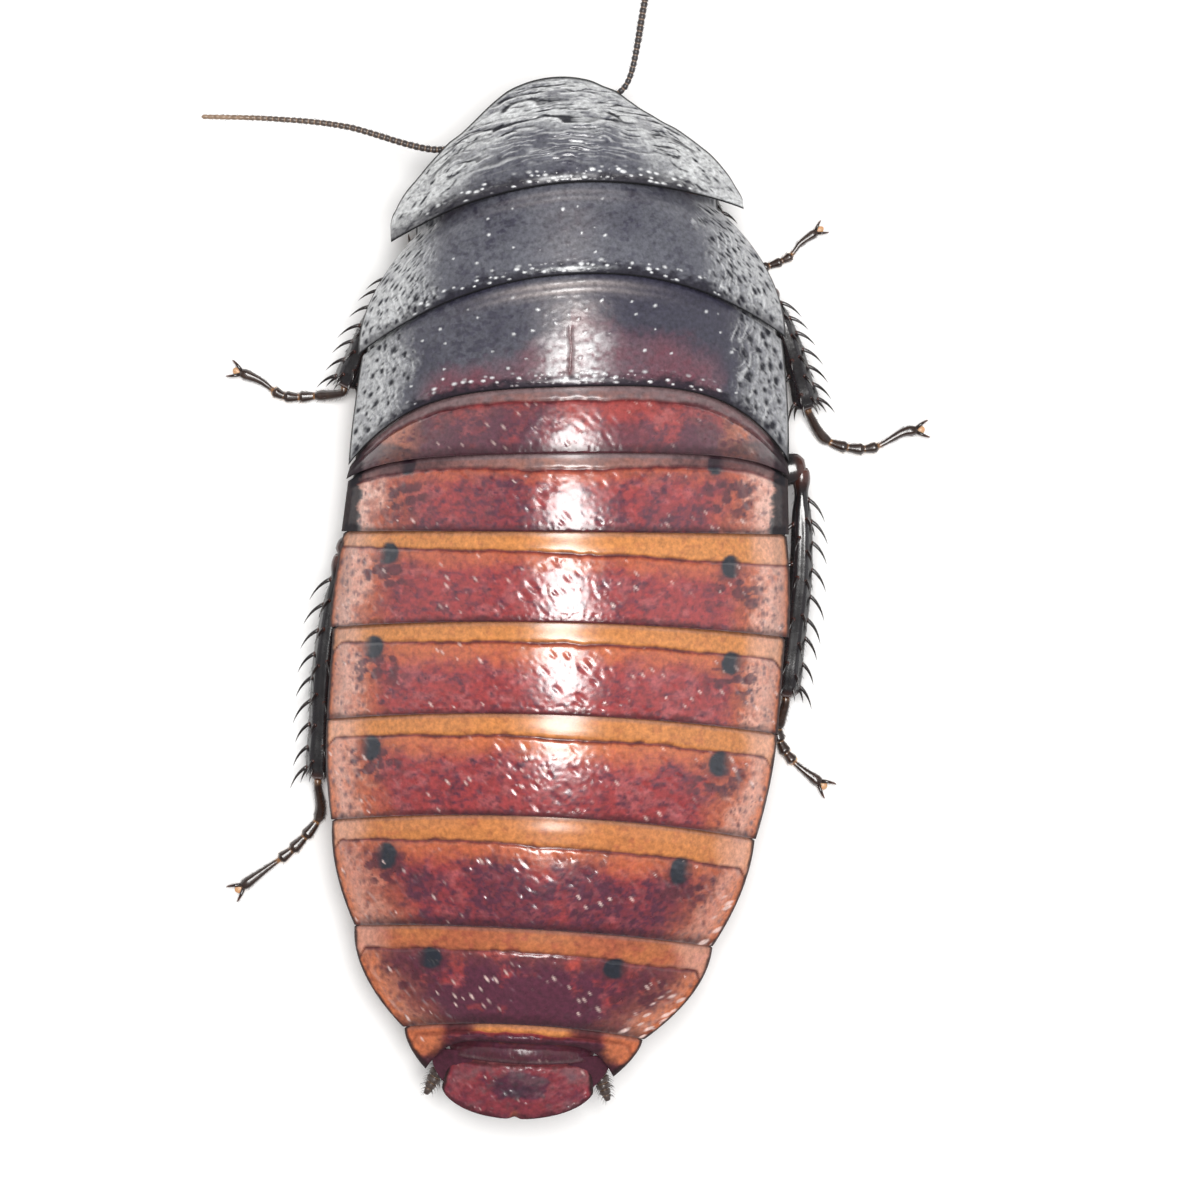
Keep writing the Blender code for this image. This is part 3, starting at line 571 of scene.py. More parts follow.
def hoodReach(across, station):
    # half width of the hood at a station, on the side that the point lies on
    outA, outS = np.array(hoodLook["outlineAcross"]), np.array(hoodLook["outlineStation"])
    nose = len(outA) // 2
    left = np.interp(station, outS[nose:], outA[nose:])
    right = np.interp(station, outS[nose::-1], -outA[nose::-1])
    return np.maximum(np.where(across > 0, left, right), np.abs(across) + 0.01)


def edgeBeads(across, ahead, noise, seed, look):
    # beads along the rear edge; painted glints take a share of them, and a patchy painted highlight
    # lies at the lip's middle
    beads, pick = pitField(across, ahead, seed, *look["beads"])
    beads = beads * ramp(*look["beadNear"], ahead) * fall(*look["beadFar"], ahead)
    beads = beads * fall(*look["beadOut"], np.abs(across))
    middle, wide = look["lipGlint"]
    lipGlint = clip01(bell(across - middle, wide) * bell(ahead - 0.34, 0.12) * (0.9 + 0.9 * noise))
    return beads, clip01(np.maximum(1.5 * beads * (pick < look["beadPale"]), lipGlint))


def makeHood(look):
    # front edge through the outline's points; wrinkles run along it, pits run along the rear edge
    outA, outS = look["outlineAcross"], look["outlineStation"]
    straight = edgeLine(*plateEdges["hood"][0])
    grid = plateGrid(lambda u: curveThrough(outA, outS, u * look["halfWidth"]),
                     lambda u: straight(u) + 0.28 * ramp(0.5, 1.0, u),  # left corner reaches further
                     lambda t: look["halfWidth"] + 0 * t, look["columns"], look["step"],
                     tuck=0.02, clamp=0.985)
    station, across, ahead, behind = (grid[key] for key in ("station", "across", "ahead", "behind"))
    side, left = np.abs(across), across > 0
    outer = side - 0.25 * station
    wander = cloudNoise(across / 1.6, station / 1.2, 31)
    mottle = cloudNoise(across / 0.26, station / 0.2, 8)
    rearNoise = cloudNoise(across / 0.42, station / 0.3, 3)
    # wrinkles arch like the rear edge; a finer set lies between them
    arch = station - 0.022 * across ** 2
    waves, valley, pale = wrinkleLines(across, arch, 11, *look["waves"])
    ripples, thin, thinPale = wrinkleLines(across + 9, arch + 3, 13, *look["ripples"])
    frontZone = fall(4.4, 6.6, outer) * fall(4.6, 6.0, station) * ramp(0.1, 0.35, behind)
    patch = ramp(-0.15, 0.3, cloudNoise(across / 1.8, station / 0.9, 15))
    # the valleys are painted as shade, the crests beside them as highlights
    dark = clip01(valley * (0.45 + 0.55 * patch) + 0.7 * thin * (1 - 0.6 * patch))
    crest = clip01(pale * (0.5 + 0.5 * patch) + 0.6 * thinPale)
    # side lobes: slanted dashes, specks and a few folds
    lobe = ramp(4.4, 6.2, outer + 1.0) * ramp(0.15, 0.4, behind)
    dashes, _ = pitField(side, station - 0.5 * side, 71, *look["dashes"])
    specks, _ = pitField(side, station, 77, *look["specks"])
    _, folds, _ = wrinkleLines(side, ahead + 0.35 * side, 47, *look["folds"])
    folds = folds * lobe * fall(7.4, 9.0, side)
    knob, crease = 0 * across, 0 * across
    for kx, ks in look["knobs"]:
        hand = math.copysign(1.0, kx)
        lean = (station - ks) - 0.55 * hand * (across - kx)
        crease = np.maximum(crease, np.exp(-((across - kx) / 0.32) ** 4 - (lean / 0.12) ** 4))
        knob = knob + bell(across - kx + 0.5 * hand, 1.1) * bell(station - ks - 0.7, 0.6)
    # rear edge: a dark blotchy strip, a low roll, beads, and a painted highlight in the middle
    rearWide = np.where(left, 1.15, 0.8) + 0.35 * ramp(2.0, 6.0, side)
    rear = 1 - ramp(0.3 * rearWide, rearWide, ahead + 0.42 * rearNoise + 0.12)
    rear = rear * (1 - np.where(left, 0.15, 0.97) * ramp(6.9, 7.9, side + 0.4 * wander))
    roll = bell(ahead - 0.3, 0.2) * fall(7.0, 8.6, side)
    beads, paintedGlints = edgeBeads(across, ahead, rearNoise, 91, look)
    relief = (0.08 * bell(behind - 0.14, 0.12)
              - frontZone * (0.05 * waves + 0.02 * ripples + look["wrinkleDepth"] * dark)
              - lobe * (look["dashDepth"] * dashes + look["speckDepth"] * specks) - 0.015 * folds
              + look["knobHeight"] * knob - look["creaseDepth"] * crease
              + 0.1 * roll + look["beadHeight"] * beads + 0.02 * mottle)
    # painted reflection: paler away from the middle of the rear edge, standing in for the lamp's
    # reflection on the black shell
    bloom = ((across - 0.3) / 5.6) ** 2 + ((station - 7.2) / 3.9) ** 2 + 0.45 * wander
    bloom = ramp(0.55, 1.6, bloom)
    inner = ramp(0.1, 0.6, bloom)
    dusk = bell(across - 0.3, 2.1) * bell(station - 1.5, 0.6)
    dusk = ramp(0.3, 0.8, dusk + 0.35 * cloudNoise(across / 0.8, station / 0.3, 36))
    blue = ramp(0.0, 0.35, cloudNoise(across / 0.9, arch / 0.34, 39))
    # where this is high the painted reflection is dimmed: at the dark front patches and the mottled
    # middle
    shade = (0.3 * ramp(0.05, 0.5, wander) + 0.55 * dusk + 0.38 * ramp(0.0, 0.4, mottle)
             + 0.65 * blue * frontZone)
    # painted shade: the furrows, the lobes' dents and specks, the folds and the creases are painted
    # dark
    tone = (dark * frontZone * (0.4 + 0.8 * inner) + lobe * (0.95 * dashes + 0.55 * specks)
            + 0.8 * folds + 1.5 * crease)
    masks = {"bloom": clip01(bloom * (1 - shade)), "wrinkle": clip01(tone),
             # painted highlights: the pale crests at the front and the glints along the rear edge
             "crest": clip01(crest * frontZone * (0.7 + 0.3 * inner) + paintedGlints),
             "dark": clip01(0.6 * ramp(0.0, 0.5, mottle) + 0.5 * ramp(-0.1, 0.5, wander))
             * (1 - inner),
             # painted sheen on the low roll before the rear edge
             "haze": clip01(0.25 * roll), "rear": clip01(rear * (1 - paintedGlints)),
             "rim": np.maximum(fall(0.09, 0.2, behind), fall(0.02, 0.12, ahead))}
    masks["dull"] = clip01(0.75 * masks["rear"] * (1 - bell(across, 2.2)) + masks["wrinkle"]
                           + 0.9 * masks["rim"])
    hood = platePart(grid, relief, masks, look["thick"], hoodReach(across, station))
    addPiece("hood", [hood], graphiteShell, ["pronotum"])


# lobe: how far from the midline the pale sides, a painted reflection, begin and are full; stain:
# maroon of the rear half
thoraxLooks = {
    "mesonotum": {"lobe": (7.0, 9.6), "pale": 0.8, "stain": 0.0, "dim": 0.0, "darkRear": 0.9,
                  "haze": 0.3, "matt": 0.55, "dashes": (0.42, 1.9, 112, 0.8, 0.38),
                  "dashDepth": 0.1, "seed": 120, "slot": "graphite_shell"},
    "metanotum": {"lobe": (8.6, 10.6), "pale": 0.63, "stain": 1.0, "dim": 0.62, "darkRear": 0.85,
                  "haze": 1.0, "matt": 0.25, "dashes": (0.62, 1.5, 112, 0.85, 0.38),
                  "dashDepth": 0.13, "seed": 160, "slot": "charcoal_shell"},
}
thoraxShared = {
    "columns": 300,
    "step": 0.065,
    "waves": (0.5, 1.2, 1.1),
    "streaks": (0.3, 1.4, 0.8),
    "specks": (0.26, 2.2, 126, 0.6, 0.42),
    "speckDepth": 0.03,
    "beads": (0.26, 1.5, 5, 0.8, 0.46),
    "beadNear": (0.08, 0.2),
    "beadFar": (0.6, 1.0),
    "beadOut": (8.0, 10.0),
    # share of the beads painted pale as glints, then the painted highlight in the middle of the lip
    "beadPale": 0.24,
    "lipGlint": (-0.2, 1.7),
    "beadHeight": 0.09,
    "knobs": (0.9, 1.2, 35, 0.4, 0.12),
    "knobHeight": 0.06,
}


def makeThoraxPlate(name, front, look):
    # smooth dark middle with fine grains; side lobes painted pale as a reflection, with lines and
    # dents along the margin
    rearSpec, sideSpec = plateEdges[name]
    grid = plateGrid(front, edgeLine(*rearSpec), plateHalf(*sideSpec), look["columns"], look["step"])
    across, station, behind, ahead, inside = (
        grid[key] for key in ("across", "station", "behind", "ahead", "inside"))
    seed, side, right = look["seed"], np.abs(across), across < 0
    hand = 30 * (across > 0)  # shifts the patterns, so that the two sides differ
    wander = cloudNoise(across / 1.8, station / 1.8, seed)
    mottle = cloudNoise(across / 0.3, station / 0.26, seed + 7)
    rearNoise = cloudNoise(across / 0.42, station / 0.3, seed + 5)
    # painted reflection: the lobes' pale sheen, which also marks where the lobes lie
    bloom = ramp(*look["lobe"], side + 1.1 * wander + 0.7 * mottle)
    lean = inside - 0.3 * behind + hand
    waves, valley, pale = wrinkleLines(station, lean, seed + 21, *look["waves"])
    streaks, thin, thinPale = wrinkleLines(station + 9, lean, seed + 23, *look["streaks"])
    inner = ramp(0.0, 0.5, bloom) * (1 - 0.7 * fall(0.7, 1.5, inside))
    # the valleys are painted as shade, the crests beside them as highlights
    dark = clip01(valley + 0.6 * thin)
    crest = clip01(pale + 0.5 * thinPale)
    dashes, _ = pitField(inside + hand, station, seed + 3, *look["dashes"])
    specks, _ = pitField(inside + hand, station, seed + 9, *look["specks"])
    lobe = ramp(0.05, 0.6, bloom) * ramp(0.1, 0.3, inside) * ramp(0.05, 0.3, ahead)
    knobs, knobPick = pitField(across, station, seed + 41, *look["knobs"])
    knobs = knobs * (1 - bloom) * ramp(0.5, 1.0, behind)
    # rear edge, beads and the midline
    rear = 1 - ramp(0.3 * look["darkRear"], look["darkRear"], ahead + 0.45 * rearNoise + 0.05)
    beads, paintedGlints = edgeBeads(across, ahead, rearNoise, seed + 31, look)
    line = bell(across + 0.06 * softNoise(station / 0.8, 0 * station, seed), 0.11)
    line = line * ramp(2.4, 3.2, behind) * ramp(0.45, 0.8, ahead)
    # painted sheen: a pale barred band behind the front edge, and a pale streak along the midline in
    # the rear half, both standing in for the lamp's reflection
    haze = bell(across - 0.3, 3.6) * ramp(0.05, 0.3, behind) * fall(0.7, 1.3, behind + 0.25 * wander)
    sheen = bell(across + 0.1 + 0.5 * wander, 1.5) * ramp(0.9, 1.6, behind) * ramp(0.3, 0.8, ahead)
    bars = 0.5 + 0.5 * np.cos(2 * np.pi * (behind + 0.06 * wander) / 0.4)
    start = np.where(across > 0, 4.0, 2.9) - 1.0 * bell(across, 2.4)
    stain = look["stain"] * ramp(-0.7, 1.0, behind - start + 1.0 * wander + 0.5 * mottle)
    stain = stain * fall(7.6, 9.0, side + 0.6 * wander + 0.3 * mottle)
    relief = (-inner * (0.03 * waves + 0.015 * streaks)
              - lobe * (look["dashDepth"] * dashes + look["speckDepth"] * specks)
              + look["beadHeight"] * beads + look["knobHeight"] * knobs
              - 0.04 * line * (1 + 1.5 * look["stain"])
              + 0.07 * bell(ahead - 0.32, 0.2) * fall(8.5, 10.5, side)
              + 0.08 * bell(inside - 0.2, 0.13) - 0.03 * haze * bars + 0.016 * mottle)
    # painted shade in the furrows and in the lobes' dents and specks
    tone = 0.35 * inner * dark + lobe * (1.15 * dashes + 0.75 * specks)
    # where this is high the painted reflection is dimmed, and it is dimmed on the right side too
    shade = (0.3 * ramp(0.0, 0.5, wander) + 0.4 * ramp(0.0, 0.4, mottle)
             + (0.3 + 0.15 * look["stain"]) * right)
    # painted highlight: a pale patch each side of the midline, in the rear half
    sheenPatch = bell(np.abs(across + 0.25) - 1.0, 0.9) * ramp(2.9, 3.6, behind + 0.4 * mottle)
    sheenPatch = look["stain"] * sheenPatch * ramp(0.3, 0.7, ahead) * clip01(0.55 + 0.9 * mottle + 0.5 * wander)
    dusk = (0.6 * ramp(0.0, 0.45, mottle) + 0.5 * ramp(-0.2, 0.5, wander) - 0.1 + look["dim"]
            + look["stain"] * ramp(0.5, 4.0, -across + wander))
    masks = {"bloom": clip01(bloom * (1 - shade) * look["pale"]),
             "dark": clip01(dusk * (1 - bloom) * (1 - 0.8 * stain)),
             "haze": clip01(look["haze"] * (haze * (0.5 + 0.5 * bars)
                                            + 0.6 * sheen * (0.8 + 0.5 * mottle))),
             "stain": clip01(stain * (0.75 + 0.4 * wander - 0.25 * mottle)),
             "wrinkle": clip01(tone),
             # painted highlights: the pale crests, the pale patch, the rear edge's glints and glints
             # on a share of the knobs
             "crest": clip01(0.4 * inner * crest + 0.7 * sheenPatch + paintedGlints + knobs * (knobPick < 0.3)),
             "rear": clip01(rear * (1 - paintedGlints) * (1 - 0.25 * ramp(0.6, 1.0, bloom))),
             "rim": clip01(np.maximum(fall(0.07, 0.19, inside), fall(0.0, 0.12, ahead))),
             "line": line * look["stain"]}
    masks["dull"] = clip01(0.7 * masks["rear"] * (1 - bell(across, 2.2)) + masks["wrinkle"]
                           + masks["rim"] + look["matt"] * (1 - bloom))
    addPiece(f"{name}_plate", [platePart(grid, relief, masks)], graphiteShell, [name])


bandedFinish = {
    "base": (158, 56, 56),
    "layers": (("rose", (178, 96, 98), 0.8), ("dusk", (84, 34, 54), 1.0),
               ("warm", (190, 102, 62), 1.0), ("flank", (221, 169, 152), 1.0),
               ("amber", (190, 106, 68), 1.0), ("band", (203, 131, 70), 1.0),
               ("bandDeep", (160, 82, 58), 1.0), ("pale", (221, 169, 152), 0.9),
               ("ash", (116, 94, 96), 1.0), ("fleck", (84, 32, 44), 1.0),
               ("groove", (72, 28, 34), 0.95), ("soot", (28, 32, 44), 1.0),
               # the pale pink below is painted glints
               ("rear", (50, 18, 28), 0.95), ("scuff", (244, 214, 206), 0.7),
               ("coal", (20, 20, 28), 0.97), ("rim", (34, 14, 18), 0.95)),
    "roughness": (0.26, 0.42),
    "coat": 0.85,
    "coatRough": 0.23,
    "specular": 0.35,
    "grain": 0.32,
    "grainScale": 3400.0,
    "micro": 0.000012,
    "fades": True,
}
bandedShell = chitin("banded_shell", **bandedFinish)

# what the plates share; masks are strengths, 0 to 1 or a little over
tergiteShared = {
    "columns": 250,
    "step": 0.085,
    # dents and scars: size, stretch, angle, share of cells filled, radius in its cell
    "dents": (0.56, 2.5, -44, 0.5, 0.38),
    "nicks": (0.3, 1.8, -58, 0.6, 0.42),
    "scars": (0.34, 2.9, -50, 0.42, 0.27),
    "rearTicks": (0.3, 0.8, 0, 0.6, 0.42),
    "dashes": (0.4, 1.7, 84, 0.62, 0.4),
    "specks": (0.24, 1.3, 84, 0.4, 0.4),
    "rings": (0.75, 1.2, 20, 0.75, 0.46),
    "marginTicks": (0.4, 2.7, 24, 0.85, 0.36),
    "pits": 1.0,        # depth of the dents
    "bandAsh": 0.0,     # front band: greyed,
    "deep": 0.0,        # or browned
    "warm": 0.0,        # orange behind the band, reaching warmReach back
    "warmReach": 1.0,
    "dusk": 0.0,        # dark clouds
    "rose": 0.7,        # paler clouds
    "flank": 0.0,       # pale sides, flankWidth wide, and their share of amber
    "flankWidth": 1.6,
    "flankAmber": 0.0,
    "coal": 0.0,        # black side margin
    "spots": (),        # across, and distance behind the front edge, left then right
    "spotSize": (0.5, 0.5),
    "rearWide": 0.5,    # dark strip at the rear edge
    "matt": 0.0,
    "ticks": 0.0,       # painted glints on raised ticks along the right margin: how wide their strip is
}
# bandWidth: groove behind the front edge at the left side, midline and right side
tergiteLooks = {
    "tergite_1": {"bandWidth": (0.5, 0.6, 0.5), "bandAsh": 1.0, "warm": 0.1, "dusk": 0.85,
                  "coal": 0.75, "pits": 0.7, "rearWide": 0.75, "matt": 0.1,
                  "slot": "maroon_shell"},
    "tergite_2": {"bandWidth": (0.45, 0.7, 0.45), "bandAsh": 0.8, "warm": 0.75, "warmReach": 0.9,
                  "dusk": 0.5, "flank": 1.0, "flankWidth": 2.2, "coal": 1.0,
                  "spots": ((9.05, 0.15), (-8.35, 0.35)), "spotSize": (0.52, 0.58)},
    "tergite_3": {"bandWidth": (0.75, 1.0, 1.55), "warm": 0.75, "warmReach": 1.2, "dusk": 0.15,
                  "flank": 1.0, "flankAmber": 0.15, "coal": 0.25, "rearWide": 0.42,
                  "spots": ((9.85, 1.16), (-9.5, 1.7)), "spotSize": (0.58, 0.66)},
    "tergite_4": {"bandWidth": (0.8, 1.0, 1.15), "deep": 0.05, "warm": 1.0, "warmReach": 1.5,
                  "dusk": 0.1, "flank": 1.0, "flankWidth": 1.5, "flankAmber": 0.3, "coal": 0.2,
                  "rearWide": 0.4, "spots": ((10.4, 1.17), (-9.9, 1.6)), "spotSize": (0.6, 0.66)},
    "tergite_5": {"bandWidth": (0.95, 1.15, 1.25), "deep": 0.15, "warm": 1.0, "warmReach": 1.6,
                  "dusk": 0.15, "flank": 0.9, "flankAmber": 0.45, "pits": 1.1,
                  "spots": ((10.1, 1.7), (-9.65, 1.94)), "spotSize": (0.62, 0.72)},
    "tergite_6": {"bandWidth": (1.05, 1.5, 1.6), "deep": 0.35, "warm": 0.8, "warmReach": 1.4,
                  "dusk": 0.68, "flank": 0.55, "flankAmber": 0.8, "pits": 1.3, "rearWide": 0.7,
                  "matt": 0.1, "ticks": 1.1, "spots": ((8.7, 2.2), (-7.95, 2.25)),
                  "spotSize": (0.62, 0.76)},
    "tergite_7": {"bandWidth": (1.2, 1.2, 1.4), "deep": 0.9, "warm": 0.15, "dusk": 1.6,
                  "flank": 0.4, "flankWidth": 1.2, "flankAmber": 1.0, "pits": 1.3,
                  "rearWide": 0.8, "matt": 0.25, "ticks": 2.1,
                  "spots": ((5.7, 1.77), (-4.85, 1.75)), "spotSize": (0.72, 0.6)},
    "tergite_8": {"bandWidth": (0.3, 0.42, 0.3), "deep": 0.9, "dusk": 1.0, "pits": 0.8,
                  "matt": 0.6},
    "tergite_9": {"bandWidth": (0.05, 0.05, 0.05), "bandAsh": 1.0, "dusk": 1.0, "pits": 0.4,
                  "rearWide": 0.3, "matt": 0.6},
    "tergite_10": {"bandWidth": (0.02, 0.02, 0.02), "bandAsh": 1.0, "dusk": 0.35, "pits": 1.2,
                   "rearWide": 0.3, "matt": 0.5},
}


def tergiteSkin(grid, look, seed):
    # front band, a thin groove behind it, then a swollen field with slanted dents; masks likewise
    u, across, station = grid["u"], grid["across"], grid["station"]
    behind, ahead, inside = grid["behind"], grid["ahead"], grid["inside"]
    side = np.abs(across)
    wander = cloudNoise(across / 1.4, station / 1.4, seed + 1)
    mottle = cloudNoise(across / 0.42, station / 0.34, seed + 3)
    grit = cloudNoise(across / 0.2, station / 0.16, seed + 30, 3)
    left, middle, right = look["bandWidth"]
    width = curveThrough([-1, -0.55, 0, 0.55, 1],
                         [right, 0.55 * right + 0.45 * middle, middle,
                          0.55 * left + 0.45 * middle, left], u)
    width = (width + 0.06 * softNoise(across / 1.9, 0 * across, seed)
             + 0.04 * softNoise(across / 0.5, 0 * across, seed + 2)
             + 0.5 * fall(0.05, 0.7, inside) * (look["deep"] > 0))
    past = behind - width
    field = ramp(0.0, 0.22, past)
    span = np.maximum(ahead + past, 0.3)
    swell = np.sin(np.pi * clip01(past / span)) * (1 - np.abs(u) ** 5)
    dents, _ = pitField(across, station, seed + 5, *look["dents"])
    nicks, _ = pitField(across, station, seed + 9, *look["nicks"])
    amount = look["pits"] * field * ramp(0.08, 0.4, ahead) * (0.6 + 0.4 * ramp(-0.2, 0.4, wander))
    # short slanted scars: a raised ridge with a dent beside it; a share of the ridges is painted as
    # glints and the dents as shade
    herd = amount * ramp(-0.15, 0.2, cloudNoise(across / 2.0, station / 1.5, seed + 14))
    scars, scarPick = pitField(across, station, seed + 12, *look["scars"])
    shadedHollow, _ = pitField(across - 0.1, station + 0.06, seed + 12, *look["scars"])
    scars, shadedHollow = scars * herd, shadedHollow * herd
    rearTicks, _ = pitField(across, ahead, seed + 15, *look["rearTicks"])
    rearTicks = rearTicks * fall(0.35, 0.8, ahead) * field
    groove = bell(past - 0.04, 0.1 + 0.05 * mottle) * (0.75 + 0.25 * ramp(-0.3, 0.3, mottle))
    relief = (0.03 * field - 0.1 * groove + 0.1 * swell - (0.06 * dents + 0.02 * nicks) * amount
              + 0.06 * scars - 0.05 * shadedHollow - 0.04 * rearTicks + 0.06 * bell(inside - 0.22, 0.15)
              + (0.012 * mottle + 0.006 * grit) * field)
    # pale sides with dark flecks
    toFlank = inside - look["flankWidth"] - 0.15 * (behind - 2.0)
    flank = look["flank"] * fall(-0.8, 0.7, toFlank + 1.3 * wander + 0.9 * mottle)
    sideWarm = 0.85 * look["flank"] * fall(0.3, 2.3, toFlank + 0.8 * wander + 0.6 * mottle)
    dashes, _ = pitField(side, station + 0.1 * mottle, seed + 21, *look["dashes"])
    specks, _ = pitField(side, station, seed + 27, *look["specks"])
    rings, _ = pitField(across, station + 0.3 * wander, seed + 26, *look["rings"])
    blots = cloudNoise(across / 0.5, station / 0.32, seed + 25, 3)
    blots = np.maximum(ramp(0.02, 0.3, blots), ramp(0.05, 0.3, rings))
    blots = blots * ramp(-0.4, 0.4, toFlank) * fall(2.2, 3.6, toFlank) * ramp(0.4, 0.9, past)
    # the dents beside the scars are painted dark as shade; the other flecks are the shell's own
    fleck = (0.95 * np.maximum(dashes, 0.8 * specks) * fall(3.0, 4.2, inside)
             * (0.3 + 0.7 * clip01(flank + 0.3 * look["flank"]))
             + 0.9 * blots * fall(2.0, 3.0, past + 0.6 * wander) * (look["flank"] > 0)
             + 0.45 * ramp(0.2, 0.6, mottle) * fall(0.5, 1.3, ahead) + 0.5 * shadedHollow)
    fleck = fleck * ramp(0.15, 0.5, past)
    # sooty spots, fainter towards the midline
    soot = 0 * across
    wide, long = look["spotSize"]
    for sx, sb in look["spots"]:
        centre = np.interp(sx, across[8], station[8] - behind[8]) + sb
        dx, dy = (across - sx) / wide, (station - centre) / long
        far = np.sqrt(dx * dx + dy * dy) + 0.16 * mottle
        outer = ramp(-0.95, -0.15, -dx * math.copysign(1.0, sx))
        soot = np.maximum(soot, fall(0.85, 1.15, far) * (0.35 + 0.65 * outer))
        fleck = np.maximum(fleck, 0.5 * fall(0.9, 1.8, far + 0.4 * wander) * field)
    onBand = fall(-0.03, 0.05, past)
    ashSide = look["bandAsh"] * (look["flank"] + look["coal"] > 1) * onBand
    rear = fall(0.08, look["rearWide"], ahead + 0.3 * mottle + 0.12 * wander)
    rear = np.maximum(rear, ashSide * ramp(4.6, 7.6, side + mottle) * 0.85)
    warm = fall(0.2, look["warmReach"] + 0.2, past + 0.6 * wander + 0.4 * mottle)
    warm = np.maximum(look["warm"] * field * warm, sideWarm * field)
    warm = warm * (1 - 0.3 * ramp(0.0, 0.5, grit))
    amber = ramp(0.0, 0.2, past) * fall(0.25, 1.0, inside + 0.3 * wander + 0.25 * mottle) * 0.9
    if look["deep"] > 0.5:
        amber = np.maximum(amber, 0.7 * field * fall(0.6, 1.9, inside + 0.8 * wander + 0.5 * mottle))
    dusk = look["dusk"] * field * ramp(-0.55, 0.35, wander + 0.9 * (grid["t"] - 0.45))
    dusk = dusk + (0.5 * ramp(0.0, 0.5, mottle) + 0.42 * ramp(0.0, 0.45, grit)) * field * (1 - warm)
    rose = ramp(0.0, 0.4, cloudNoise(across / 0.7, station / 0.5, seed + 33))
    dull = (look["matt"] + 0.9 * fall(0.15, 0.5, inside) + 0.8 * look["coal"] * fall(0.8, 1.2, inside)
            + 0.5 * rear + 0.6 * groove + 0.3 * onBand)
    deep = (look["deep"] + 0.35 * ramp(0.1, 0.5, mottle)) * clip01(0.8 + 0.4 * wander)
    hem = fall(0.0, 0.2, behind + 0.05 * mottle)
    return relief, {
        "dusk": clip01(dusk), "rose": look["rose"] * field * rose * (1 - warm),
        "warm": warm * (1 - look["coal"] * 0.3),
        "flank": flank * field * clip01(0.85 + 0.45 * wander - 0.35 * mottle),
        "pale": 0.5 * onBand * (look["flank"] > 0) * fall(1.2, 2.6, inside + 0.6 * wander),
        "amber": clip01(amber * (1 - look["coal"])
                        + flank * look["flankAmber"] * (0.75 + 0.5 * wander)),
        "band": onBand * clip01(1 - look["bandAsh"] * (1.1 - 0.55 * bell(across, 6.0))),
        "bandDeep": clip01(onBand * deep),
        "ash": clip01(onBand * look["bandAsh"] * (0.9 + 0.3 * mottle) + 0.4 * hem * onBand),
        "fleck": clip01(fleck), "groove": clip01(groove), "soot": soot,
        "rear": clip01(rear * (0.85 + 0.3 * mottle)),
        # painted glints on a share of the scars
        "scuff": clip01(1.4 * scars * (scarPick < 0.24)),
        "coal": look["coal"] * fall(0.75, 1.05, inside - 0.06 * behind + 0.4 * mottle),
        "rim": fall(0.1, 0.26, inside + 0.08 * mottle), "dull": clip01(dull)}


def firstMarks(masks, grid, side, mottle):
    # first plate's sides: a sooty patch, then a tan one, crossed by thin dark lines
    behind, across = grid["behind"], grid["across"]
    shelf = ramp(6.2, 8.0, side + 0.9 * mottle) * ramp(0.2, 0.5, behind)
    masks["ash"] = clip01(masks["ash"] + 0.5 * shelf * (0.4 + 0.8 * mottle)
                          + 0.1 * ramp(0.6, 0.9, behind))
    masks["amber"] = clip01(0.75 * ramp(8.2, 9.2, side + 1.1 * mottle) * ramp(0.3, 0.6, behind)
                            * fall(10.4, 11.0, side))
    # the corners are sooty behind a line that bends forward
    bend = grid["ahead"] - 0.25 - 1.1 * ramp(7.5, 11.5, side) + 0.35 * mottle
    masks["rear"] = np.maximum(masks["rear"], 0.8 * fall(-0.15, 0.25, bend))
    grime, _ = pitField(across, grid["ahead"], 88, 0.3, 1.5, 20, 0.7, 0.42)
    masks["fleck"] = clip01(masks["fleck"] + shelf * (0.8 * grime + 0.6 * ramp(0.0, 0.35, mottle)))
    masks["dusk"] = clip01(masks["dusk"] + 0.35 * ramp(3.5, 7.5, side + mottle)
                           + 0.25 * (across > 1.5) - 0.15)


def eighthMarks(masks, grid, side, mottle):
    # orange only in the middle of the band and at the corners
    hidden = fall(0.3, 0.6, grid["behind"] - 0.3 * ramp(4.0, 4.5, side)) * fall(4.2, 4.8, side)
    masks["bandDeep"] = masks["bandDeep"] * 0.3
    masks["band"] = masks["band"] * fall(2.2, 3.4, side + 0.4 * mottle)
    masks["groove"] = 0.5 * masks["groove"]
    masks["rear"] = np.maximum(masks["rear"], 0.85 * hidden * ramp(2.2, 3.4, side + 0.6 * mottle))
    masks["amber"] = ramp(4.3, 4.9, side + 0.3 * mottle) * fall(1.2, 1.7, grid["behind"]) * 0.95


def ninthMarks(masks, grid, side, mottle):
    # narrow dusky plate, with a grey line before its edge
    masks["ash"] = 0.8 * bell(grid["ahead"] - 0.16, 0.08) * fall(3.0, 4.0, side)
    masks["band"] = masks["amber"] = masks["groove"] = masks["rim"] = 0 * side
    masks["dusk"] = clip01(0.9 - 0.3 * mottle)
    masks["rear"] = clip01(0.55 + 0.4 * mottle)


plateMarks = {"tergite_1": firstMarks, "tergite_8": eighthMarks, "tergite_9": ninthMarks}


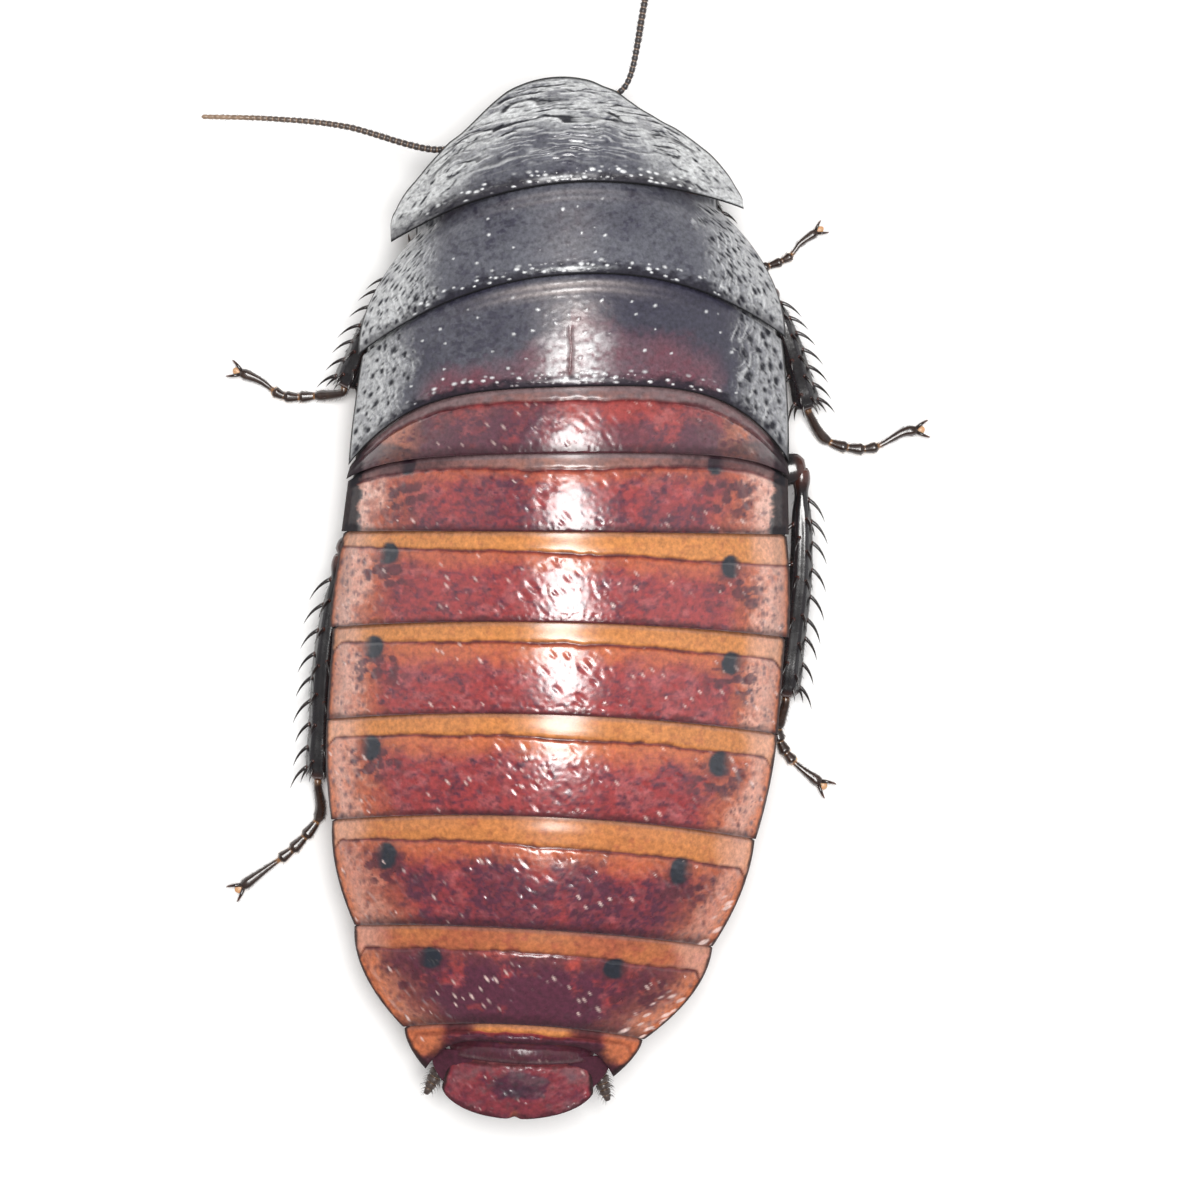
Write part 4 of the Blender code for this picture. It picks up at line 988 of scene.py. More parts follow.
def makeTergite(name, front, look, seed):
    # the shared skin, with raised ticks and their painted glints where the look asks for them, and
    # the plate's own marks
    rearSpec, sideSpec = plateEdges[name]
    grid = plateGrid(front, edgeLine(*rearSpec), plateHalf(*sideSpec), look["columns"], look["step"])
    across, station = grid["across"], grid["station"]
    relief, masks = tergiteSkin(grid, look, seed)
    side, mottle = np.abs(across), cloudNoise(across / 0.5, station / 0.4, 77)
    if look["ticks"]:
        ticks, _ = pitField(across, station, 97, *look["marginTicks"])
        strip = ramp(0.1, 0.25, grid["inside"]) * fall(0.6, 1.0, grid["inside"] / look["ticks"])
        strip = strip * ramp(2.4, 3.4, grid["behind"]) * (across < 0)
        # painted glints on the margin's ticks
        masks["scuff"] = clip01(masks["scuff"] + 2.2 * ticks * strip)
        relief = relief + 0.07 * ticks * strip
    if name in plateMarks:
        plateMarks[name](masks, grid, side, mottle)
    addPiece(f"{name}_plate", [platePart(grid, relief, masks)], bandedShell,
             [name])


tailLook = {
    "halfWidth": (3.9, 4.35),
    "base": 57.6,
    "end": 59.7,
    "notch": 0.16,
    "ellipse": 0.97,
    "columns": 150,
    "step": 0.06,
    "lip": 0.1,
    "tuck": 0.6,
    "lobeAt": (55.9, 56.7, 57.3, 58.1),
    "lobeHalf": (5.1, 5.05, 4.75, 4.0),
    "lobeThick": 0.4,
    # painted dark all over, partly as the shade under the flap
    "lobeMasks": {"dusk": 1.0, "rear": 0.5, "dull": 0.95},
}


def makeTail(look, skin, front):
    # rounded flap: its end is half an ellipse with a small notch on the midline
    first, last = look["halfWidth"]

    def rear(u):
        # half an ellipse with its ends cut off, less the notch
        share = np.sqrt(1 - (look["ellipse"] * u) ** 2)
        return look["base"] + (look["end"] - look["base"]) * share - look["notch"] * bell(u, 0.06)
    grid = plateGrid(front, rear, lambda t: first + (last - first) * np.sqrt(t), look["columns"],
                     look["step"], look["tuck"], look["lip"])
    relief, masks = tergiteSkin(grid, skin, 900)
    across, station = grid["across"], grid["station"]
    cloud = cloudNoise(across / 1.1, station / 0.7, 911)
    rough = cloudNoise(across / 0.5, station / 0.35, 917)
    heart = bell(across, 2.0) * bell(station - 57.8, 0.9)
    masks["dusk"] = clip01(0.5 + 0.3 * masks["dusk"] + ramp(0.25, 0.8, heart + 0.5 * cloud)
                           - 0.3 * rough)
    masks["soot"] = clip01(0.6 * ramp(0.4, 1.1, heart + 0.9 * rough))
    masks["ash"] = clip01(0.9 * ramp(0.1, 0.6, rough) * heart + 0.35 * ramp(0.0, 0.5, cloud))
    masks["amber"] = clip01(0.9 * bell(across, 0.22) * bell(grid["ahead"], 0.3))
    masks["band"] = masks["fleck"] = 0 * across
    relief = relief - 0.12 * bell(across, 2.6) * bell(station - 57.9, 0.5) + 0.05 * rough
    addPiece("tergite_10_plate", [platePart(grid, relief, masks)], bandedShell,
             ["tergite_10"])
    # dark sheet under the flap, between the eighth plate's corners and the prongs: lobes of skin,
    # painted dark partly as the shade in that gap
    u, t = np.meshgrid(np.linspace(-1, 1, 80), np.linspace(0, 1, 24))
    station = look["lobeAt"][0] + (look["lobeAt"][-1] - look["lobeAt"][0]) * t
    across = u * curveThrough(look["lobeAt"], look["lobeHalf"], station)
    level = (domeLevel(across, station, 5.9) - 0.75 - 0.2 * t
             + 0.04 * cloudNoise(across / 0.4, station / 0.3, 931))
    lobes = sheetPart(onBody(across, station, level),
                      onBody(across, station, level - look["lobeThick"]), look["lobeMasks"])
    addPiece("tail_lobes", [lobes], bandedShell)


def frontEdge(before, share=1.0):
    # rear edge of the plate before, one gap further back; share is how much of it the plate spans
    middle, corner, power = plateEdges[before][0]
    line = edgeLine(middle + plateLook["gap"], corner + plateLook["gap"], power)
    return lambda u: line(share * u)


makeHood(hoodLook)
names = list(plateEdges)
for number, (before, name) in enumerate(zip(names, names[1:])):
    if name in thoraxLooks:
        makeThoraxPlate(name, frontEdge(before), {**thoraxShared, **thoraxLooks[name]})
    else:
        # the ninth plate spans only the middle of the eighth
        share = plateEdges[name][1][0] / plateEdges[before][1][1] if name == "tergite_9" else 1.0
        makeTergite(name, frontEdge(before, share), {**tergiteShared, **tergiteLooks[name]},
                    200 + 60 * number)
makeTail(tailLook, {**tergiteShared, **tergiteLooks["tergite_10"]}, frontEdge(names[-1]))
print("plates of the back made")

bellyFinish = {
    "base": (88, 40, 28),
    "layers": (("dark", (34, 20, 20), 1.0), ("amber", (150, 84, 40), 1.0),
               ("skin", (126, 94, 72), 1.0), ("crease", (40, 22, 18), 0.85),
               ("breath", (24, 16, 16), 1.0)),
    "roughness": (0.25, 0.45),
    "grain": 0.14,
}
bellyShell = chitin("belly_shell", **bellyFinish)

bellyLook = {
    # front and rear station of each plate
    "edges": {
        "mesothorax": (8.6, 14.8), "metathorax": (15.0, 21.6), "sternite_2": (21.8, 26.0),
        "sternite_3": (26.2, 31.4), "sternite_4": (31.6, 36.8), "sternite_5": (37.0, 42.4),
        "sternite_6": (42.6, 48.6), "sternite_7": (48.8, 56.4)},
    "inset": 0.7,         # the plates stop this far inside the margin
    "edgeLevel": 4.65,
    "lidLevel": 6.0,
    "wallShare": 0.3,
    "columns": 121,
    "step": 0.11,
    "lip": 0.1,
    "tuck": 0.7,          # hidden strip under the plate in front,
    "frontTuck": 0.05,    # and that of the first one
    "frontRise": 1.3,     # the first plate's front rises by this much
    "rounding": 2.0,      # the last plate's corners fall back by this much
    "breathAt": (1.3, 0.42),    # breathing hole: behind the front edge, and up the wall
    "breathSize": (0.3, 0.17),
    "thorax": {"folds": 0.06, "soft": 0.45, "crease": 0.4},
    "abdomen": {"folds": 0.012, "soft": 0.0, "crease": 0.0},
}


def bodyHalf(station):
    # half width of the back at any station, through the corners of the plates
    plates = list(plateEdges.values())[1:-1]
    corners = [8.5, 10.0, 12.0, 13.5] + [rear[1] for rear, _ in plates]
    halves = [8.9, 10.1, 11.3, 11.9] + [sides[1] for _, sides in plates]
    return curveThrough(corners, halves, station)


def keelLevel(across, station, reach):
    # cosine bowl hung between the belly plates' edges
    out = np.minimum(1.0, np.abs(across) / reach)
    bowl = np.maximum(0, np.cos(np.pi / 2 * out)) ** bodyPlan["bellyPower"]
    edge = bellyLook["edgeLevel"]
    return edge - (edge - curveThrough(bodyPlan["bellyAt"], bodyPlan["belly"], station)) * bowl


def makeBellyPlate(name, first, last, look, seed):
    # |u| up to 1 spans the plate; beyond it a soft wall climbs to the lid under the back
    isFirst, isLast = name == "mesothorax", name == "sternite_7"
    kind = look["thorax" if name.endswith("thorax") else "abdomen"]
    tuck = look["frontTuck"] if isFirst else look["tuck"]
    whole, lip, bend = last - first, look["lip"], quarterTurn(4)
    rows = int(whole / look["step"])
    wall = 1 + look["wallShare"] * np.linspace(0, 1, 18)[1:]
    behind = np.concatenate([-tuck * np.linspace(1, 0, 5)[:-1], np.linspace(0, whole - lip, rows),
                             whole - lip + lip * np.sin(bend)])
    curl = np.concatenate([np.zeros(4 + rows), lip * (1 - np.cos(bend))])[:, None]
    u, behind = np.meshgrid(np.concatenate([-wall[::-1], np.linspace(-1, 1, look["columns"]), wall]),
                            behind)
    flat = clip01(np.abs(u))
    length = whole - (look["rounding"] * flat ** 2 if isLast else 0.0)
    behind = behind * np.where(behind > 0, length / whole, 1.0)
    station, ahead = first + behind, length - behind
    reach = bodyHalf(station) - look["inset"]
    climb = clip01((np.abs(u) - 1) / look["wallShare"])
    across = np.sign(u) * (flat * reach + 0.16 * np.sin(np.pi * climb) - 0.22 * climb ** 2)
    plate = climb == 0
    folds = cloudNoise(across / 2.4, station / 0.42 + 0.3 * across, seed, 3)
    wrinkles = cloudNoise(station / 0.5, climb * 5.0 + 0.4 * station, seed + 5, 3)
    cloud = cloudNoise(across / 2.0, station / 1.3, seed + 13)
    margin = bell((1 - flat) * 12.0, 0.35) * plate
    dimple, _ = pitField(across, station, seed + 9, 0.7, 1.2, 10, 0.4, 0.35)
    groove = bell(flat - 0.8 - 0.02 * folds, 0.012) * plate
    breath = 0 * u
    if not isFirst:
        (breathBack, breathUp), (breathLong, breathHigh) = look["breathAt"], look["breathSize"]
        ring = np.hypot((behind - breathBack) / breathLong, (climb - breathUp) / breathHigh)
        breath = np.maximum(bell(ring - 1.0, 0.35) * (climb > 0.05), 0.9 * fall(0.4, 0.7, ring))
    relief = (0.035 * margin - 0.03 * dimple * plate * ramp(0.2, 0.6, behind) - 0.05 * groove
              + kind["folds"] * folds + 0.07 * wrinkles * np.sin(np.pi * climb) - 0.06 * breath)
    step = 0.13 * behind / whole - 0.16 * fall(-0.7, 0.35, behind)
    level = (keelLevel(flat * reach, station, reach) - step * (1 - climb) - relief
             + (look["lidLevel"] - look["edgeLevel"]) * climb)
    if isFirst:
        level = level + look["frontRise"] * fall(0.0, 2.2, behind) * (1 - climb)
    under = onBody(across, station, level + curl)
    lid = onBody(u / u.max() * (reach - 0.25), station, look["lidLevel"])
    dark = fall(0.2, 0.75, flat + 0.25 * cloud) * 0.8 + fall(0.2, 1.4, ahead) * 0.5
    amber = ramp(0.78, 0.95, flat + 0.1 * cloud) * 0.8 + fall(0.15, 0.5, ahead) * 0.55
    skin = np.maximum(ramp(0.0, 0.12, climb), kind["soft"] * ramp(-0.2, 0.3, folds + 0.2))
    crease = (groove + 0.5 * ramp(0.1, 0.6, -wrinkles) * (climb > 0)
              + kind["crease"] * ramp(0.05, 0.6, -folds))
    masks = {"dark": clip01(dark) * plate, "amber": clip01(amber) * plate, "skin": clip01(skin),
             "crease": clip01(crease), "breath": clip01(breath)}
    addPiece(f"{name}_skin", [sheetPart(lid, under, masks)], bellyShell, [name])


prothoraxLook = {
    "halfWidth": 7.5,
    "front": 4.95,
    "bulge": 0.5,      # its front comes forward by this much at the midline
    "gap": 0.1,        # stops this far before the hood's rear edge,
    "below": 0.75,     # and this far under the hood's dome
    "side": 0.3,       # height of its outer edge
    "pull": 0.3,       # height of the furrow across it, at station 6.2
}


def makeProthorax(look, seed):
    # block under the hood: ceiling follows the hood's dome, underside hangs as a folded bowl
    u, t = np.meshgrid(np.linspace(-1, 1, 90), np.linspace(0, 1, 46))
    across = u * look["halfWidth"]
    rear = edgeLine(*plateEdges["hood"][0])(across / hoodLook["halfWidth"]) - look["gap"]
    start = look["front"] - look["bulge"] * bell(across, 2.4)
    station = start + (rear - start) * t
    ceiling = domeLevel(across, station, hoodReach(across, station)) - look["below"]
    folds = cloudNoise(across / 1.1, station / 0.5, seed)
    bowl = keelLevel(across, station, look["halfWidth"]) + 0.1 * folds
    bowl = bowl + look["pull"] * bell(station - 6.2, 0.25)
    # its flanks round up under the hood
    top = ceiling - look["side"]
    bowl = top - (top - bowl) * np.sqrt(1 - 0.98 * np.abs(u) ** 5)
    masks = {"skin": ramp(-0.3, 0.35, folds) * 0.4, "crease": 0.6 * ramp(0.05, 0.5, -folds),
             "dark": 0.6,
             "amber": 0.35 * ramp(0.1, 0.5, cloudNoise(across / 2, station / 2, seed + 7))}
    block = sheetPart(onBody(across, station, ceiling), onBody(across, station, bowl), masks)
    addPiece("prothorax_skin", [block], bellyShell, ["prothorax"])


for number, (name, (first, last)) in enumerate(bellyLook["edges"].items()):
    makeBellyPlate(name, first, last, bellyLook, 2000 + 50 * number)
makeProthorax(prothoraxLook, 2600)
print("underside made")

headFinish = {
    "base": (30, 25, 27),
    "layers": (("brown", (104, 56, 32), 0.9), ("pale", (186, 140, 92), 0.9),
               ("seam", (12, 10, 12), 0.9)),
    "roughness": (0.18, 0.34),
    "coat": 0.4,
    "grain": 0.2,
}
lipFinish = {
    "base": (118, 70, 40),
    "layers": (("dark", (54, 30, 21), 0.9), ("pale", (186, 140, 92), 0.8)),
    "roughness": (0.28, 0.44),
    "coat": 0.2,
    "grain": 0.14,
    "through": 0.15,
}
jawFinish = {
    "base": (46, 22, 16),
    "layers": (("tip", (12, 8, 8), 1.0),),
    "roughness": (0.15, 0.3),
    "coat": 0.4,
    "grain": 0.2,
}
eyeFinish = {
    "base": (26, 18, 24),
    "layers": (("rim", (74, 54, 44), 0.9),),
    "roughness": (0.14, 0.22),
    "coat": 0.5,
    "grain": 0.25,
    "grainScale": 2500.0,
    "micro": 0.000016,
    "facets": 11000.0,
}
headShell = chitin("head_shell", **headFinish)
lipShell = chitin("lip_shell", **lipFinish)
jawShell = chitin("jaw_shell", **jawFinish)
eyeShell = chitin("eye_shell", **eyeFinish)

headLook = {
    "station": 3.1,
    "level": 4.65,
    "half": (3.0, 1.6, 2.95),
    "tilt": 12.0,
    "taper": 0.36,
    "bed": -0.1,         # raised patches start this far under the skin
    # ring round each feeler's root: azimuth, elevation, height and radii on the way up
    "socketAt": (27.0, 7.0),
    "socketHeight": 0.42,
    "socketRadii": (0.4608, 0.4736, 0.48, 0.48, 0.4736, 0.4608, 0.448, 0.4288, 0.4032, 0.3712,
                    0.3456, 0.32, 0.2944, 0.2688),
    "feelerAim": (1.45, 1.15, 4.7),
    # pale window spot above it
    "spotAt": (24.0, 24.0),
    "spotBed": -0.05,
    "spotRadius": 0.17,
    "spotHeight": 0.16,
}


def compass(azimuth, elevation):
    # unit direction: azimuth from straight ahead towards the left side, elevation above level
    azimuth, elevation = np.broadcast_arrays(np.radians(azimuth), np.radians(elevation))
    return np.stack([np.sin(azimuth) * np.cos(elevation), -np.cos(azimuth) * np.cos(elevation),
                     np.sin(elevation)], -1)


def headPoint(direction, lift):
    # ellipsoid in that direction, narrowed towards the mouth, grown by lift and tilted back
    x, y, z = np.moveaxis(direction, -1, 0)
    a, b, c = headLook["half"]
    pinch = 1 - headLook["taper"] * np.maximum(0, -z) ** 1.3
    lx, ly, lz = x * (a + lift) * pinch, y * (b + lift), z * (c + lift)
    tilt = math.radians(headLook["tilt"])
    return onBody(lx, headLook["station"] + ly * math.cos(tilt) - lz * math.sin(tilt),
                  headLook["level"] + ly * math.sin(tilt) + lz * math.cos(tilt))


def azimuthFor(wide, elevation):
    # azimuth of the head's skin that lies a distance from the midline, at an elevation
    elevation = np.radians(elevation)
    down = np.maximum(0, -np.sin(elevation))
    reach = headLook["half"][0] * np.cos(elevation) * (1 - headLook["taper"] * down ** 1.3)
    return np.degrees(np.arcsin(np.clip(wide / reach, -0.95, 0.95)))


def patchGrid(columns, rows):
    # u from -1 to 1 across a patch of the head, t from 0 to 1 down it
    return np.meshgrid(np.linspace(-1, 1, columns), np.linspace(0, 1, rows))


def cushion(u, power):
    # height across a patch: 1 in the middle, and a steep fall to 0 at its sides
    return np.sqrt(np.maximum(0, 1 - np.abs(u) ** power))


def addPatch(name, azimuth, elevation, lift, masks, material, nodes=()):
    # raised patch of the head's skin, bedded below the surface
    direction = compass(azimuth, elevation)
    part = sheetPart(headPoint(direction, lift), headPoint(direction, headLook["bed"]), masks)
    addPiece(name, [part], material, nodes)


def makeCapsule(look):
    # rings of elevation; seams, shallow dents and two brow swellings are lifts of its skin
    azimuth, elevation = np.meshgrid(np.linspace(-180, 180, 140, endpoint=False),
                                     np.linspace(-88, 88, 90))
    aside = np.abs(azimuth)
    grain = cloudNoise(azimuth / 9, elevation / 9, 3001)
    coronal = bell(azimuth, 2.2) * ramp(10, 30, elevation)
    fork = (bell(aside - (30 - elevation) * 0.9, 3.0) * ramp(-10, 5, elevation)
            * fall(26, 32, elevation))
    base = bell(elevation + 24 + 0.002 * azimuth ** 2, 2.2) * fall(34, 42, aside)
    brow = bell(aside - 26, 12) * bell(elevation - 30, 14)
    pits, _ = pitField(azimuth * 0.05, elevation * 0.05, 3010, 0.16, 1.0, 0, 0.5, 0.4)
    lift = 0.02 * grain - 0.05 * coronal - 0.05 * fork - 0.07 * base + 0.1 * brow - 0.02 * pits
    masks = {"brown": clip01(fall(-45, -12, elevation + 6 * grain) + 0.35 * bell(aside - 90, 25)),
             "seam": clip01(coronal + fork + base) * 0.9}
    parts = [tubePart(headPoint(compass(azimuth, elevation), lift), masks)]
    for side in (1, -1):
        turn, up = look["socketAt"]
        root = headPoint(compass(side * turn, up), look["bed"])
        across, station, level = look["feelerAim"]
        radii = np.array(look["socketRadii"])
        way = np.linspace(0, 1, len(radii))[:, None]
        path = root + unit(onBody(side * across, station, level) - root) * look["socketHeight"] * way
        parts.append(tubePart(limbRings(path, radii, radii, 32), {"brown": 0.7, "pale": 0.5 * way}))
        turn, up = look["spotAt"]
        spot = headPoint(compass(side * turn, up), look["spotBed"])
        way = np.linspace(0, 1, 8)
        path = spot + unit(spot - onBody(0.0, 4.0, 4.8)) * look["spotHeight"] * way[:, None]
        radii = look["spotRadius"] * np.sqrt(1 - (0.97 * way) ** 2)
        parts.append(tubePart(limbRings(path, radii, radii, 20), {"pale": 1.0}))
    addPiece("head_capsule", parts, headShell, ["head"])


def makeEyesAndJaws():
    # kidney-shaped domes, and jaws that narrow and darken towards the mouth
    for side, name in ((1, "left"), (-1, "right")):
        u, t = patchGrid(70, 90)
        v = 2 * t - 1
        addPatch(f"eye_{name}_dome", side * (64 + 23 * u * (1 - 0.25 * v * v) + 9 * v * v),
                 16 + 28 * v, -0.06 + 0.66 * np.maximum(0, (1 - u * u) * (1 - v * v)) ** 0.45,
                 {"rim": ramp(0.86, 0.98, np.maximum(np.abs(u), np.abs(v)))},
                 eyeShell, [f"eye_{name}"])
        u, t = patchGrid(30, 36)
        addPatch(f"jaw_{name}", side * (30 - 14 * t + (12 - 5 * t) * u), -50 - 34 * t + 3 * u,
                 0.08 + 0.34 * cushion(u, 2) * (1 - 0.4 * t) + 0.05 * np.sin(9 * t) * u,
                 {"tip": ramp(0.5, 0.9, t)}, jawShell)


def makeLips():
    # face plate, upper lip with a small notch, and lower lip with a furrow
    u, t = patchGrid(60, 30)
    dark = fall(0.0, 0.35, t) + ramp(0.85, 1.0, np.abs(u))
    addPatch("clypeus", azimuthFor((1.12 - 0.26 * t) * u, -24 - 14 * t),
             -24 - 14 * t - 3 * u ** 2 * (1 - t),
             0.1 + 0.26 * cushion(u, 6) * np.sin(np.pi * (0.15 + 0.75 * t))
             + 0.012 * softNoise(u * 9, t * 7, 31),
             {"dark": clip01(dark) * 0.8, "pale": 0.4 * bell(t - 0.75, 0.2)}, lipShell)
    u, t = patchGrid(60, 46)
    dark = ramp(0.75, 1.0, t) + 0.6 * fall(0.0, 0.1, t)
    notch = 3 * bell(u, 0.16) * ramp(0.6, 1.0, t)
    addPatch("labrum_flap", azimuthFor((0.86 - 0.2 * t ** 2) * u, -39 - 25 * t),
             -39 - 25 * t * (1 - 0.3 * np.abs(u) ** 3) + notch,
             -0.05 + 0.42 * cushion(u, 4) * cushion(t, 5) + 0.03 * np.cos(u * 5) * t,
             {"dark": clip01(dark), "pale": 0.5 * bell(np.abs(u) - 0.5, 0.25) * (1 - t)},
             lipShell, ["labrum"])
    u, t = patchGrid(50, 40)
    furrow = bell(u, 0.08)
    addPatch("labium", 180 + 42 * u * (1 - 0.4 * t), -30 - 48 * t,
             0.06 + 0.3 * cushion(u, 4) - 0.12 * furrow * ramp(0.5, 0.8, t)
             + 0.015 * softNoise(u * 8, t * 9, 33),
             {"dark": clip01(0.7 - t + 0.6 * furrow), "pale": 0.6 * ramp(0.6, 1.0, t)},
             lipShell)


def makeNeck():
    # ringed skin between the head and the block behind it
    path = smoothPath([onBody(0, 3.9, 5.6), onBody(0, 5.0, 5.9), onBody(0, 6.2, 6.2)], 26)
    wave = np.sin(np.linspace(0, 22, 26))
    swell = 1 + 0.07 * wave
    neck = tubePart(limbRings(path, 2.3 * swell, 1.7 * swell, 40),
                    {"skin": 0.8, "crease": (0.5 - 0.5 * wave)[:, None]})
    addPiece("neck_skin", [neck], bellyShell)


makeCapsule(headLook)
makeEyesAndJaws()
makeLips()
makeNeck()
print("head made")

feelerFinish = {
    "base": (46, 43, 46),
    "layers": (("joint", (150, 124, 102), 0.8),),
    "roughness": (0.35, 0.5),
    "coat": 0.15,
    "grain": 0.2,
    "grainScale": 2600.0,
}
feelerShell = chitin("feeler_shell", **feelerFinish)

feelerLook = {
    "paths": {
        "left": [onBody(1.22, 2.1, 4.7), onBody(1.5, 1.15, 4.7), onBody(3.7, 1.3, 4.4),
                 (7.3, -16.2, 4.5), (13.0, -17.5, 4.8), (17.2, -17.95, 4.7), (21.3, -18.1, 4.5)],
        "right": [onBody(-1.22, 2.1, 4.7), onBody(-1.5, 1.15, 4.7), (-2.1, -19.2, 4.5),
                  (-3.4, -20.3, 4.7), (-4.3, -24.8, 5.1), (-5.5, -31.3, 5.0), (-7.5, -39.4, 4.4)]},
    # half width at these shares of the length
    "halfAt": (0, 0.04, 0.1, 0.3, 1.0),
    "half": (0.27, 0.27, 0.19, 0.19, 0.13),
    "beadLength": 0.34,
    "perBead": 6,
    "hairsPerBead": 4,
    "hairLength": 0.16,
    "tipFade": {"left": 1.2, "right": 0.0},  # how far a feeler pales from fadeFrom to its tip
    "fadeFrom": 0.78,
}


def makeFeeler(side, points, look, seed):
    # stem of beads: in each the radius swells towards its far end, then drops at the joint
    steps = np.diff(smoothPath(points, 400), axis=0)
    beads = int(np.sum(np.linalg.norm(steps, axis=1)) / look["beadLength"])
    path = smoothPath(points, beads * look["perBead"] + 1)
    share = np.linspace(0, 1, len(path))
    within = (np.arange(len(path)) % look["perBead"]) / look["perBead"]
    shape = 0.84 + 0.2 * np.sin(np.pi * clip01(within * 1.15)) ** 0.8 + 0.08 * within
    shape[share < 0.045] = 1.0
    shape[:2] = 0.7
    shape[-2:] = (0.7, 0.35)
    half = curveThrough(look["halfAt"], look["half"], share)
    joint = ((within == 0) * (share > 0.04) + 0.5 * share ** 2
             + look["tipFade"][side] * ramp(look["fadeFrom"], 1.0, share))
    stem = tubePart(limbRings(path, half * shape, half * shape, 10), {"joint": joint[:, None]})
    hairs = bristlePart(path, half, half, beads * look["hairsPerBead"], look["hairLength"], 0.014,
                        seed, 0.05, 0.99, 0.62)
    addPiece(f"antenna_{side}_beads", [stem, hairs], feelerShell, [f"antenna_{side}"])


palpFinish = {
    "base": (92, 56, 38),
    "layers": (("joint", (186, 148, 106), 0.9),),
    "roughness": (0.3, 0.45),
    "coat": 0.2,
    "grain": 0.16,
    "through": 0.1,
}
prongFinish = {
    "base": (70, 58, 54),
    "layers": (("joint", (142, 112, 84), 0.8),),
    "roughness": (0.35, 0.5),
    "coat": 0.15,
    "grain": 0.2,
}
palpShell = chitin("palp_shell", **palpFinish)
prongShell = chitin("prong_shell", **prongFinish)

# path: across to its own side, station and level; joints and half widths run along it;
# hairs: count, length, radius, seed, first and last place, lean
jointedLooks = {
    "maxillary_palp": {
        "path": ((1.9, 3.5, 2.5), (3.0, 2.9, 1.5), (3.4, 1.6, 1.6), (2.7, 0.6, 1.0)),
        "joints": (0, 0.1, 0.2, 0.48, 0.74, 1.0), "half": (0.24, 0.27, 0.25, 0.23, 0.25, 0.28),
        "flare": 0.2, "seed": 4101, "hairs": (150, 0.2, 0.012, 4110, 0.1, 0.98, 0.7),
        "ending": "joints", "material": palpShell, "slot": "amber_lip"},
    "labial_palp": {
        "path": ((0.8, 4.4, 1.75), (1.3, 4.5, 0.95), (1.6, 3.6, 0.7)),
        "joints": (0, 0.28, 0.6, 1.0), "half": (0.18, 0.2, 0.2, 0.22),
        "flare": 0.2, "seed": 4131, "hairs": (70, 0.16, 0.012, 4140, 0.1, 0.98, 0.7),
        "ending": "joints", "material": palpShell, "slot": "amber_lip"},
    "cercus": {
        "path": ((4.25, 56.5, 4.4), (4.8, 57.6, 4.35), (5.28, 58.7, 4.3)),
        "joints": (0, 0.18, 0.36, 0.53, 0.69, 0.84, 1.0), "half": (0.52, 0.55, 0.5, 0.42, 0.3, 0.14),
        "flare": 0.12, "seed": 4151, "hairs": (120, 0.34, 0.014, 4160, 0.2, 0.98, 0.85),
        "ending": "rings", "material": prongShell, "slot": "cercus_grey"},
}


def segmentPlace(joints, share):
    # which segment each share of the length lies in, and how far along it
    joints = np.array(joints)
    k = np.clip(np.searchsorted(joints, share, side="right") - 1, 0, len(joints) - 2)
    return k, (share - joints[k]) / (joints[k + 1] - joints[k])


def roundedEnd(within, start, span, least):
    # shrinks the last part of a segment as a quarter ellipse, down to the root of least
    curve = np.sqrt(np.maximum(least, 1 - ((within - start) / span) ** 2))
    return np.where(within > start, curve, 1.0)


def makeJointed(name, side, hand, look):
    # segments end to end: each narrows at its root and flares towards a rounded end
    sides, perSegment = 18, 14
    points = [onBody(hand * across, station, level) for across, station, level in look["path"]]
    path = smoothPath(points, perSegment * (len(look["joints"]) - 1) + 1)
    share = np.linspace(0, 1, len(path))
    _, within = segmentPlace(look["joints"], share)
    shape = 1 - look["flare"] + look["flare"] * np.sin(np.pi / 2 * clip01(within / 0.8))
    shape = shape * roundedEnd(within, 0.8, 0.24, 0.25) * (0.72 + 0.28 * ramp(0.0, 0.18, within))
    half = np.interp(share, np.linspace(0, 1, len(look["half"])), look["half"]) * shape
    half[-1] *= 0.4
    bump = 0.025 * cloudNoise(60 * share[:, None], np.arange(sides) / 3.0, look["seed"])
    stem = tubePart(limbRings(path, half, half, sides, bump),
                    {"joint": fall(0.0, 0.14, within)[:, None]})
    hairs = bristlePart(path, half, half, *look["hairs"])
    addPiece(f"{name}_{side}_{look['ending']}", [stem, hairs], look["material"],
             [f"{name}_{side}"])


for number, (side, points) in enumerate(feelerLook["paths"].items()):
    makeFeeler(side, points, feelerLook, 4004 + number)
for side, hand in (("left", 1), ("right", -1)):
    for name, look in jointedLooks.items():
        makeJointed(name, side, hand, look)
print("feelers, palps and prongs made")

legFinish = {
    "base": (24, 21, 24),
    "layers": (("joint", (96, 44, 28), 0.7), ("ridge", (66, 62, 68), 0.5),
               ("spine", (30, 20, 20), 0.8)),
    "roughness": (0.16, 0.34),
    "coat": 0.45,
    "grain": 0.25,
}
footFinish = {
    "base": (44, 28, 22),
    "layers": (("joint", (168, 118, 72), 0.75), ("ridge", (66, 62, 68), 0.3)),
    "roughness": (0.22, 0.38),
    "coat": 0.35,
    "grain": 0.22,
}
padFinish = {
    "base": (222, 190, 150),
    "layers": (("edge", (190, 120, 70), 0.9),),
    "roughness": (0.4, 0.55),
    "coat": 0.1,
    "grain": 0.08,
    "through": 0.3,
}
clawFinish = {
    "base": (34, 18, 14),
    "layers": (("tip", (120, 60, 30), 0.9),),
    "roughness": (0.14, 0.25),
    "coat": 0.5,
    "grain": 0.15,
}
legShell = chitin("leg_shell", **legFinish)
footShell = chitin("foot_shell", **footFinish)
padSkin = chitin("pad_skin", **padFinish)
clawShell = chitin("claw_shell", **clawFinish)

